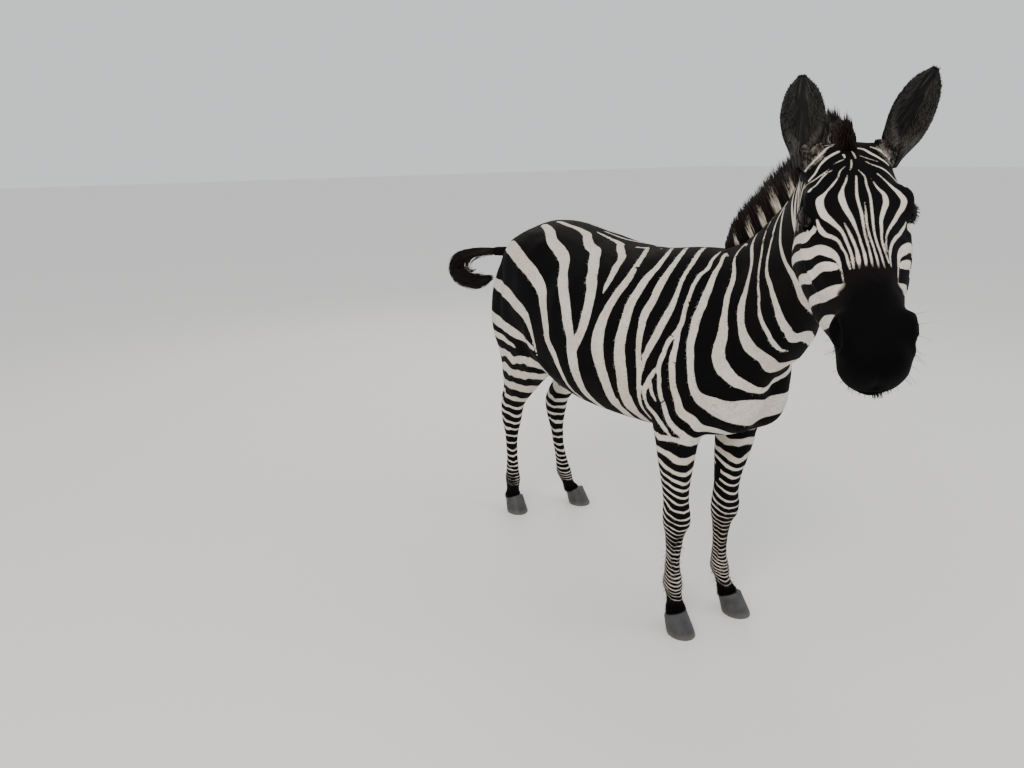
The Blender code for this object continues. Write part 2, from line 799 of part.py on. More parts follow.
def take(whole, name, region, grown_region):
    """Cuts a region out of the whole, as a named piece of its own."""
    piece = copy_of(whole, name)
    shape_with(piece, "INTERSECT", region)
    shape_with(whole, "DIFFERENCE", grown_region)
    return largest_body(piece)


def part_flesh(whole):
    """Parts the flesh into named pieces."""
    pieces = {}
    for name in LEGS:
        leg = take(whole, name, column(name), column(name, GAP))
        shape_with(leg, "DIFFERENCE", hoof_space(name))
        largest_body(leg)
        cut = (0.0, 0.0, KNEE_CUT[name.split("_")[0]])
        lower = copy_of(leg, name + "_lower")
        shape_with(lower, "INTERSECT", half_space(cut, (0, 0, -1)))
        shape_with(leg, "INTERSECT", half_space(cut, (0, 0, 1), GAP))
        leg.name = name + "_upper"
        pieces[leg.name] = leg
        pieces[lower.name] = lower
    point, normal = HEAD_ROOT_PLANE
    space = half_space(point, normal, 0.0, HEAD_BOX)
    grown_space = half_space(point, normal, -GAP, HEAD_BOX + GAP)
    pieces["head"] = take(whole, "head", space, grown_space)
    point, normal = NECK_ROOT_PLANE
    pieces["neck"] = take(whole, "neck", half_space(point, normal), half_space(point, normal, -GAP))
    whole.name = "trunk"
    pieces["trunk"] = largest_body(whole)
    return pieces


def clean(obj):
    """Welds the slivers that the cuts leave, and triangulates."""
    tool = bmesh.new()
    tool.from_mesh(obj.data)
    bmesh.ops.remove_doubles(tool, verts=tool.verts, dist=0.00005)
    bmesh.ops.dissolve_degenerate(tool, edges=tool.edges, dist=0.00005)
    bmesh.ops.triangulate(tool, faces=tool.faces)
    tool.to_mesh(obj.data)
    tool.free()


def build():
    for old in list(bpy.data.objects):
        bpy.data.objects.remove(old)

    pieces = part_flesh(flesh())

    head = pieces["head"]
    for side in (-1.0, 1.0):
        shape_with(head, "DIFFERENCE", nostril(side))
        for cutter in eye_socket(side):
            shape_with(head, "DIFFERENCE", cutter)
    largest_body(head)
    for name in ("eye_left", "eye_right"):
        pieces[name] = eye_ball(name)

    for name in EARS:
        ear = ear_shell(name)
        shape_with(ear, "DIFFERENCE", swollen(head))
        pieces[name] = largest_body(ear)

    mane = mane_shell()
    for neighbour in ("head", "neck", "trunk"):
        shape_with(mane, "DIFFERENCE", swollen(pieces[neighbour]))
    pieces["mane"] = largest_body(mane)

    for name, (start, end) in TAIL_SPLITS.items():
        pieces[name] = tail_length(name, start, end)
    for name in ("tail_dock", "tail_tassel"):
        shape_with(pieces[name], "DIFFERENCE", swollen(pieces["trunk"]))
        largest_body(pieces[name])

    for leg in LEGS:
        name = leg.replace("leg", "hoof")
        pieces[name] = hoof(name, leg)

    coat = finish_material("striped_coat", (0.52, 0.50, 0.46), 0.75)
    hair = finish_material("mane_hair", (0.06, 0.045, 0.04), 0.85)
    horn = finish_material("hoof_horn", (0.20, 0.19, 0.18), 0.6)
    wet = finish_material("eye", (0.01, 0.008, 0.007), 0.08)
    for name, piece in pieces.items():
        finish = coat
        if name.startswith(("mane", "tail_tassel", "tail_bend")):
            finish = hair
        elif "hoof" in name:
            finish = horn
        elif name.startswith("eye"):
            finish = wet
        piece.data.materials.clear()
        piece.data.materials.append(finish)
        clean(piece)
        piece.data.transform(Matrix.Translation(-PLAN_MIDDLE))
        piece.data.shade_smooth()


build()
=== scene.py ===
import math
import time

import bmesh
import bpy
import numpy as np
from mathutils import Matrix, Vector
from mathutils.bvhtree import BVHTree


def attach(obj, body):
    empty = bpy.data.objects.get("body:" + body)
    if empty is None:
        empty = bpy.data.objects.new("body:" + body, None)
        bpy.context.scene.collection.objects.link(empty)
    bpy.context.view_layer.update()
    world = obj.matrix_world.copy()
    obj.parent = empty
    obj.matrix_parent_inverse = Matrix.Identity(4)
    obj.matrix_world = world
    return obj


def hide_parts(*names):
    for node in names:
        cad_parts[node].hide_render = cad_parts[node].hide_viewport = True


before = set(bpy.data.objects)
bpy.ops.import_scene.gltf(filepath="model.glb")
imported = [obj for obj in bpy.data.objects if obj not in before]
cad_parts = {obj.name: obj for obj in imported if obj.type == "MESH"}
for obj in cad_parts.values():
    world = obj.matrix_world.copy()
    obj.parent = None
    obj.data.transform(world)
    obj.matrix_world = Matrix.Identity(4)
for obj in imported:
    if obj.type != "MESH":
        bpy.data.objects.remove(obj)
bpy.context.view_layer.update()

# A standing plains zebra, life size, head turned to its right. It faces -Y and its left is +X.
# Places are in the animal's own frame, whose x = 0 is the midline of the trunk, until a mesh is written.
startTime = time.time()
middle = np.array((0.1353, 0.1715, 0.0))  # from the animal's own frame to the shared one
flanks = {"right": -1, "left": 1}
legNodes = [f"{leg}_{side}_{end}" for leg in ("foreleg", "hindleg") for side in ("left", "right")
            for end in ("upper", "lower")]
fleshNodes = ["head", "neck", "trunk", "tail_dock"] + legNodes

# The head's own frame starts at the poll: along the face, to the animal's left, up from the face.
poll = np.array((-0.307, -1.037, 1.560))
faceAxis = np.array((-0.467, -0.567, -0.679))
faceAxis /= np.linalg.norm(faceAxis)
faceLeft = np.array((0.757, -0.653, 0.025))
faceLeft -= faceLeft @ faceAxis * faceAxis
faceLeft /= np.linalg.norm(faceLeft)
faceUp = np.cross(faceAxis, faceLeft)
headFrame = np.array((faceAxis, faceLeft, faceUp))


def report(text):
    print(f"[{time.time() - startTime:6.1f} s] {text}", flush=True)


def toHead(points):
    return (points - poll) @ headFrame.T


def fromHead(places):
    return poll + np.asarray(places, float) @ headFrame


def headShareAt(points):  # 1 on the head, 0 on the neck
    places = toHead(points)
    return (smoothstep(-0.10, -0.02, places[:, 0])
            * smoothstep(0.64, 0.58, np.linalg.norm(points - poll, axis=1))
            * smoothstep(-0.36, -0.30, places[:, 2]))


def smoothstep(low, high, value):
    share = np.clip((value - low) / (high - low), 0.0, 1.0)
    return share * share * (3 - 2 * share)


def steps(table, value):  # a table of (place, number) read between its rows
    return np.interp(value, *np.array(table).T)


def unit(vectors):
    return vectors / np.maximum(np.linalg.norm(vectors, axis=-1, keepdims=True), 1e-9)


def wave(points, size, seed, octaves=2):  # soft random swell, about -1 to 1, from turned sine waves
    rng = np.random.default_rng(seed)
    total = np.zeros(len(points))
    for octave in range(octaves):
        for _ in range(5):
            way = unit(rng.normal(size=3)) * (2 * math.pi / (size * 0.5 ** octave) * rng.uniform(0.7, 1.3))
            total += np.sin(points @ way + rng.uniform(0, 6.28)) * 0.5 ** octave
    return total / 3.2


def curveThrough(knots, step):  # smooth curve through the knots, sampled about every step
    knots = np.asarray(knots, float)
    if len(knots) == 1:
        return knots
    ends = np.vstack((2 * knots[0] - knots[1], knots, 2 * knots[-1] - knots[-2]))
    parts = []
    for k in range(len(knots) - 1):
        a, b, c, d = ends[k:k + 4]
        before, here, after = (max(np.linalg.norm(gap[:3]), 1e-6) for gap in (b - a, c - b, d - c))
        leave = ((b - a) / before * here + (c - b) / here * before) / (before + here) * here
        arrive = ((c - b) / here * after + (d - c) / after * here) / (here + after) * here
        count = max(int(here / step), 1)
        t = (np.arange(count) / count)[:, None]
        parts.append(b + leave * t + (3 * (c - b) - 2 * leave - arrive) * t ** 2
                     + (2 * (b - c) + leave + arrive) * t ** 3)
    parts.append(knots[-1:])
    return np.vstack(parts)


def curveAt(knots, shares):  # points on a smooth curve at shares of its length
    fine = curveThrough(knots, 0.004)
    length = np.concatenate(([0], np.cumsum(np.linalg.norm(np.diff(fine[:, :3], axis=0), axis=1))))
    return np.stack([np.interp(np.asarray(shares) * length[-1], length, fine[:, k])
                     for k in range(fine.shape[1])], axis=-1)


def readNumbers(items, key, width, kind=float):
    numbers = np.empty(len(items) * width, kind)
    items.foreach_get(key, numbers)
    return numbers.reshape(-1, width) if width > 1 else numbers


def meshPoints(mesh):
    return readNumbers(mesh.vertices, "co", 3) - middle


def meshEdges(mesh):
    return readNumbers(mesh.edges, "vertices", 2, np.int64)


def meshNormals(mesh):
    return readNumbers(mesh.vertex_normals, "vector", 3)


def setPoints(mesh, points):
    mesh.vertices.foreach_set("co", (points + middle).ravel())
    mesh.update()


def surfaceTree(mesh):
    mesh.calc_loop_triangles()
    corners = readNumbers(mesh.loop_triangles, "vertices", 3, np.int64)
    points = meshPoints(mesh)
    return BVHTree.FromPolygons(points.tolist(), corners.tolist(), all_triangles=True), points, corners


def softened(points, edges, share, rounds):  # each point moves a share of the way to its neighbours' mean
    a, b = edges.T
    count = np.maximum(np.bincount(a, minlength=len(points)) + np.bincount(b, minlength=len(points)), 1)
    for _ in range(rounds):
        total = np.empty_like(points)
        for k in range(3):
            total[:, k] = np.bincount(a, points[b, k], len(points)) + np.bincount(b, points[a, k], len(points))
        points = points + share[:, None] * (total / count[:, None] - points)
    return points


def rounded(points, edges, share, rounds):  # takes facets off and puts the lost girth back
    once = softened(points, edges, share, rounds)
    return once + softened(points - once, edges, share, rounds)


def addObject(name, mesh):
    made = bpy.data.objects.new(name, mesh)
    bpy.context.scene.collection.objects.link(made)
    return made


def addMesh(name, points, faces):
    mesh = bpy.data.meshes.new(name)
    mesh.from_pydata(np.asarray(points, float).tolist(), [], faces)
    return mesh


def meshFrom(name, cells):
    mesh = bpy.data.meshes.new(name)
    cells.to_mesh(mesh)
    cells.free()
    return mesh


def cadCopy(name, nodes):
    whole = bmesh.new()
    for node in nodes:
        whole.from_mesh(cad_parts[node].data)
    bmesh.ops.remove_doubles(whole, verts=whole.verts, dist=0.00002)
    return addObject(name, meshFrom(name, whole))


def applied(made, kind, settings):  # adds a modifier and applies it
    modifier = made.modifiers.new(kind, kind)
    for key, value in settings.items():
        setattr(modifier, key, value)
    return baked(made)


def baked(made):  # the object's mesh as its modifiers leave it
    shown = made.evaluated_get(bpy.context.evaluated_depsgraph_get())
    mesh = bpy.data.meshes.new_from_object(shown)
    made.modifiers.clear()
    old = made.data
    made.data = mesh
    bpy.data.meshes.remove(old)
    return made


def setAttribute(mesh, name, values, kind="FLOAT"):
    layer = mesh.attributes.get(name) or mesh.attributes.new(name, kind, "POINT")
    layer.data.foreach_set("value" if kind == "FLOAT" else "vector", np.asarray(values, np.float32).ravel())


# One skin over all the flesh: the solids merged, rounded, and drawn in by the coat's depth.
skinSettings = {
    "grain": 0.004,  # cell of the first merged skin
    "rounds": 80,
    "soften": {"trunk": 0.72, "head": 0.16, "legs": 0.22, "tail": 0.20},
    "depth": {"trunk": 0.0035, "head": 0.0018, "legs": 0.0022},  # how far it lies under the coat's tips
    "triangles": {"trunk": 62000, "legs": 38000, "face": 90000},
}
skin = applied(cadCopy("skin", fleshNodes), "REMESH", {"mode": "VOXEL", "voxel_size": skinSettings["grain"]})
report(f"skin merged, {len(skin.data.polygons)} cells")

before, edges = meshPoints(skin.data), meshEdges(skin.data)
headShare = headShareAt(before)
tailShare = smoothstep(0.66, 0.72, before[:, 1]) * (before[:, 2] > 1.05)
legShare = smoothstep(0.78, 0.66, before[:, 2])
soften, depth = skinSettings["soften"], skinSettings["depth"]
share = (soften["trunk"] * (1 - headShare) * (1 - legShare) * (1 - tailShare) + soften["head"] * headShare
         + soften["legs"] * legShare + soften["tail"] * tailShare)
points = rounded(before, edges, share, skinSettings["rounds"])
setPoints(skin.data, points)
# Slim legs lose girth in the smoothing, and get it back along their normals.
normals = meshNormals(skin.data)
lost = ((before - points) * normals).sum(1) * legShare * smoothstep(0.045, 0.075, points[:, 2])
lost = softened(np.repeat(lost[:, None], 3, 1), edges, np.full(len(points), 0.5), 25)[:, 0]
points = points + normals * lost[:, None]
setPoints(skin.data, points)
drawn = (depth["trunk"] * (1 - headShare) * (1 - legShare) + depth["head"] * headShare
         + depth["legs"] * legShare)
points = points - meshNormals(skin.data) * drawn[:, None]
setPoints(skin.data, points)
report("skin rounded")

# The face gets finer cells before it is modelled.
cells = bmesh.new()
cells.from_mesh(skin.data)
cells.verts.ensure_lookup_table()
places = toHead(points)
fine = (headShare > 0.5) & (places[:, 0] > -0.02) & ((places[:, 2] > -0.085) | (places[:, 0] > 0.36))
fine &= (np.abs(places[:, 1]) < 0.135)
fineEdges = [edge for edge in cells.edges if fine[edge.verts[0].index] and fine[edge.verts[1].index]]
bmesh.ops.subdivide_edges(cells, edges=fineEdges, cuts=1, use_grid_fill=True)
bmesh.ops.triangulate(cells, faces=cells.faces)
cells.to_mesh(skin.data)
cells.free()
points, edges = meshPoints(skin.data), meshEdges(skin.data)
points = softened(points, edges, 0.6 * headShareAt(points), 3)
setPoints(skin.data, points)
report(f"face refined, {len(skin.data.polygons)} triangles")

# Ridges (+) and hollows (-) on both sides: knots, width and height, all in mm. The charts side and front
# look along X and Y; head is (along the face, left, up); near is (x, y, z), as on a left leg.
bodyForms = {
    "side": (
        (((-470, 1190), (-490, 1080), (-525, 960), (-545, 900)), 34, 7),  # spine of the shoulder blade
        (((-545, 905), (-520, 860)), 45, 6),  # point of the shoulder
        (((-590, 1060), (-600, 980), (-590, 930)), 30, -7),  # neck meets shoulder
        (((-330, 1150), (-300, 1010), (-318, 880)), 46, -8),  # behind the shoulder
        (((-430, 990), (-385, 880), (-345, 810)), 34, 6),  # long head of the triceps
        (((-480, 850), (-430, 815), (-370, 800)), 18, -4),
        (((-332, 772),), 26, 8),  # elbow
        (((165, 1150), (185, 1080), (180, 1010)), 60, -11),  # hollow of the flank
        (((140, 800), (215, 850), (262, 915)), 26, 7),  # fold of the flank
        (((285, 1225), (300, 1200)), 34, 9),  # point of the hip
        (((330, 1120), (345, 1000), (360, 900)), 50, 6),
        (((520, 1120), (500, 980), (470, 860)), 24, -6),  # hamstring groove
        (((590, 1100), (575, 980), (540, 850)), 36, 5),
        (((355, 815), (350, 790)), 34, 8),  # stifle
        (((430, 760), (470, 690), (515, 620)), 24, 5),  # gaskin
        (((-560, 1010), (-640, 1110), (-740, 1205), (-830, 1265)), 20, -5),  # jugular groove
        (((-560, 1190), (-660, 1260), (-770, 1340)), 30, -4),  # under the crest
        (((-100, 1130), (-150, 940), (-130, 790)), 16, 2),  # ribs
        (((-35, 1140), (-75, 940), (-55, 780)), 16, 2),
        (((35, 1140), (0, 940), (20, 780)), 16, 2),
        (((105, 1130), (80, 940), (95, 790)), 16, 2),
    ),
    "front": (
        (((62, 930), (72, 850), (80, 790)), 42, 10),  # breast
        (((0, 985), (0, 900), (0, 800)), 24, -5),
        (((45, 1080), (30, 1000)), 22, 4),
    ),
    "near": (
        (((106, -452, 420), (98, -456, 385)), 16, 4),  # knee
        (((116, -420, 345), (126, -408, 210)), 7, -4),  # tendon groove, outside
        (((74, -420, 345), (92, -408, 210)), 7, -4),
        (((104, -378, 330), (112, -370, 215)), 8, 3),  # tendons
        (((108, -366, 150),), 14, 5),  # back of the fetlock
        (((150, -455, 640), (135, -450, 560)), 18, 4),  # forearm
        (((128, -350, 640), (112, -366, 560)), 16, -4),
        (((128, 672, 560), (112, 660, 500)), 12, 7),  # point of the hock
        (((148, 585, 600), (134, 610, 560)), 12, -7),  # in front of the hock tendon
        (((92, 585, 600), (90, 610, 560)), 12, -6),
        (((120, 548, 500), (116, 552, 470)), 18, 4),
        (((132, 600, 440), (140, 596, 220)), 7, -4),
        (((82, 600, 440), (108, 596, 220)), 7, -4),
        (((110, 628, 420), (128, 622, 230)), 8, 3),
        (((136, 622, 150),), 14, 5),
        (((60, -405, 545), (60, -403, 505)), 10, 2.5),  # chestnut
        (((0, 665, 1140), (-20, 715, 1150), (-50, 760, 1152)), 40, -3),  # slim dock
    ),
}
headForms = {
    "head": (
        (((215, 86, -70), (262, 82, -76), (318, 66, -74)), 9, 5),  # facial crest
        (((225, 92, -98), (268, 84, -112), (310, 70, -108)), 16, -5),
        (((262, 80, -150), (258, 78, -200), (225, 72, -245)), 22, -3),  # front edge of the cheek
        (((170, 92, -150), (150, 92, -200)), 46, 6),
        (((98, 74, -4), (84, 76, -12)), 20, -4),  # hollow over the eye
        (((122, 84, -6), (146, 94, -6), (172, 94, -12)), 11, 2),  # brow
        (((140, 92, -62), (166, 100, -70), (194, 94, -60)), 8, -3),  # under the lower lid
        (((230, 62, -22), (290, 52, -26), (350, 44, -28)), 15, -4),  # beside the nose
        (((205, 80, -26), (232, 66, -34)), 8, -3),  # inner corner of the eye
        (((210, 0, 6), (300, 0, 0), (370, 0, -6)), 20, 2),
        (((412, 62, -22), (438, 80, -20), (462, 82, -34), (468, 72, -54)), 15, 5),  # rim of the nostril
        (((424, 84, -48), (446, 88, -56)), 18, 4),  # wing of the nostril
        (((424, 70, -32), (440, 78, -34), (453, 77, -46), (456, 72, -58)), 9, -10),  # nostril
        (((480, 40, -40), (500, 20, -52)), 24, 3),  # upper lip
        (((505, 0, -50), (520, 0, -90)), 7, -3),
        (((520, 0, -112), (510, 28, -114), (485, 48, -120), (448, 58, -130), (412, 58, -136)), 4, -7),  # mouth
        (((405, 60, -140), (392, 60, -142)), 12, -3),
        (((500, 0, -132), (470, 26, -146)), 22, 4),  # lower lip and chin
        (((380, 55, -80), (420, 60, -95)), 18, -3),
        (((-20, 20, -10), (40, 22, 10), (110, 26, 18)), 20, -2),
    ),
}


def castTo(tree, chart, place, flank):
    # The skin's point at a place of a chart, in mm, on the right (-1) or left (1) flank.
    a, b, c = (k / 1000 for k in (*place, 0)[:3])
    if chart == "left":
        chart, flank = "side", 1
    if chart in ("head", "near"):
        near = fromHead((a, flank * b, c)) if chart == "head" else (flank * a, b, c)
        return np.array(tree.find_nearest(Vector(near))[0])
    start, way, spare = {  # where a ray starts, its way, and a place near the skin in case it misses
        "side": ((flank * 1.2, a, b), (-flank, 0, 0), (flank * 0.12, a, b)),
        "front": ((-flank * a, -2.0, b), (0, 1, 0), (-flank * a, -0.60, b)),
        "back": ((-flank * a, 2.0, b), (0, -1, 0), (-flank * a, 0.60, b)),
        "top": ((-flank * a, b, 2.2), (0, 0, -1), (-flank * a, b, 1.25)),
        "under": ((-flank * a, b, 0.3), (0, 0, 1), (-flank * a, b, 0.66)),
        "face": (fromHead((a, -flank * b, 0.3)), -faceUp, fromHead((a, -flank * b, 0.0))),
        "cheek": (fromHead((a, flank * 0.3, b)), -flank * faceLeft, fromHead((a, flank * 0.08, b))),
    }[chart]
    hit = tree.ray_cast(Vector(start), Vector(way), 3.0)[0]
    return np.array(tree.find_nearest(Vector(spare))[0] if hit is None else hit)


def nearCurve(points, curve, reach):
    # Distance from each point to a sampled curve and the place of its nearest sample, where within reach.
    distance = np.full(len(points), 9.0)
    nearest = np.zeros(len(points), int)
    low, high = curve[:, :3].min(0) - reach, curve[:, :3].max(0) + reach
    close = np.nonzero(((points > low) & (points < high)).all(1))[0]
    for block in np.array_split(close, max(len(close) * len(curve) // 4000000, 1)):
        if len(block):
            gaps = ((points[block, None] - curve[None, :, :3]) ** 2).sum(2)
            nearest[block] = gaps.argmin(1)
            distance[block] = np.sqrt(gaps.min(1))
    return distance, nearest


def modelled(points, forms):
    tree, _, _ = surfaceTree(skin.data)
    rise = np.zeros(len(points))
    for chart, rows in forms.items():
        for knots, width, height in rows:
            onMiddle = chart == "head" and all(k[1] == 0 for k in knots)
            for flank in (-1,) if onMiddle else (-1, 1):
                curve = curveThrough([castTo(tree, chart, k, flank) for k in knots], 0.004)
                distance, _ = nearCurve(points, curve, width * 0.0026)
                rise += height / 1000 * np.exp(-(distance / (width / 1000)) ** 2)
    points = points + meshNormals(skin.data) * rise[:, None]
    setPoints(skin.data, points)
    return points


points = modelled(modelled(points, bodyForms), headForms)
report("forms modelled")

# The lid opening: skin goes in behind the ball inside it and wraps the ball round it.
eyeSettings = {
    "centre": (0.166, 0.0865, -0.034),
    "radius": 0.0205,
    "halfLength": 0.0172,
    "upperHeight": 0.0105,
    "lowerHeight": 0.0080,
    "lidThickness": 0.0016,
    "lidReach": (0.009, 0.0015),  # the skin takes that thickness this near the opening
    "socket": (0.052, 0.036),  # and this near the centre
    "behind": 0.004,  # how far inside the ball the skin passes
    "ballShare": 0.985,  # of the radius, so that the lids lie on the ball
    "bulge": 0.045,  # share by which the clear front stands out
    "bare": 0.0245,  # there is no coat this near the centre
    "look": (0.10, 0.97, 0.22),  # the way the opening faces: along the face, outwards, up
    "length": (0.93, -0.02, -0.36),  # from its rear corner to its inner corner
}


def eyeAxes(flank):
    sides = np.array((1, flank, 1))
    out = unit(np.array(eyeSettings["look"]) * sides) @ headFrame
    along = unit(np.array(eyeSettings["length"]) * sides) @ headFrame
    along = unit(along - along @ out * out)
    above = np.cross(out, along)
    above = above if above @ faceUp > 0 else -above
    return fromHead(np.array(eyeSettings["centre"]) * sides), out, along, above


for flank in flanks.values():
    centre, out, along, above = eyeAxes(flank)
    away = points - centre
    distance = np.linalg.norm(away, axis=1)
    way = away / distance[:, None]
    near = (distance < 0.055) & (way @ out > 0.15)
    radius = eyeSettings["radius"]
    a, b = way @ along * radius, way @ above * radius
    height = np.where(b > 0, eyeSettings["upperHeight"], eyeSettings["lowerHeight"])
    outside = np.abs(b) - height * np.clip(1 - (a / eyeSettings["halfLength"]) ** 2, -1, 1)
    target = np.where(outside < 0, radius - eyeSettings["behind"], radius + eyeSettings["lidThickness"])
    blend = np.where(outside < 0, 1.0, smoothstep(*eyeSettings["lidReach"], outside))
    blend = blend * smoothstep(*eyeSettings["socket"], distance)
    points[near] = (centre + way * (distance + (target - distance) * blend)[:, None])[near]
setPoints(skin.data, points)

# Fewer triangles where the skin is plain: first trunk and neck, then legs, then the face.
for part, target in skinSettings["triangles"].items():
    low = points[:, 2] < 0.70
    front = (headShareAt(points) > 0.4) & (toHead(points)[:, 0] > -0.05)
    chosen = {"trunk": ~low & ~front, "legs": low, "face": front}[part]
    whole, inside = len(skin.data.polygons), np.count_nonzero(chosen) * 2
    skin.vertex_groups.new(name="plain").add(np.nonzero(chosen)[0].tolist(), 0.5, "REPLACE")
    applied(skin, "DECIMATE", {"ratio": (whole - inside + target) / whole, "vertex_group": "plain",
                               "use_collapse_triangulate": True})
    skin.vertex_groups.clear()
    points = meshPoints(skin.data)
    report(f"{part}: {inside} triangles thinned to {len(skin.data.polygons) - whole + inside}")
skin.data.shade_smooth()

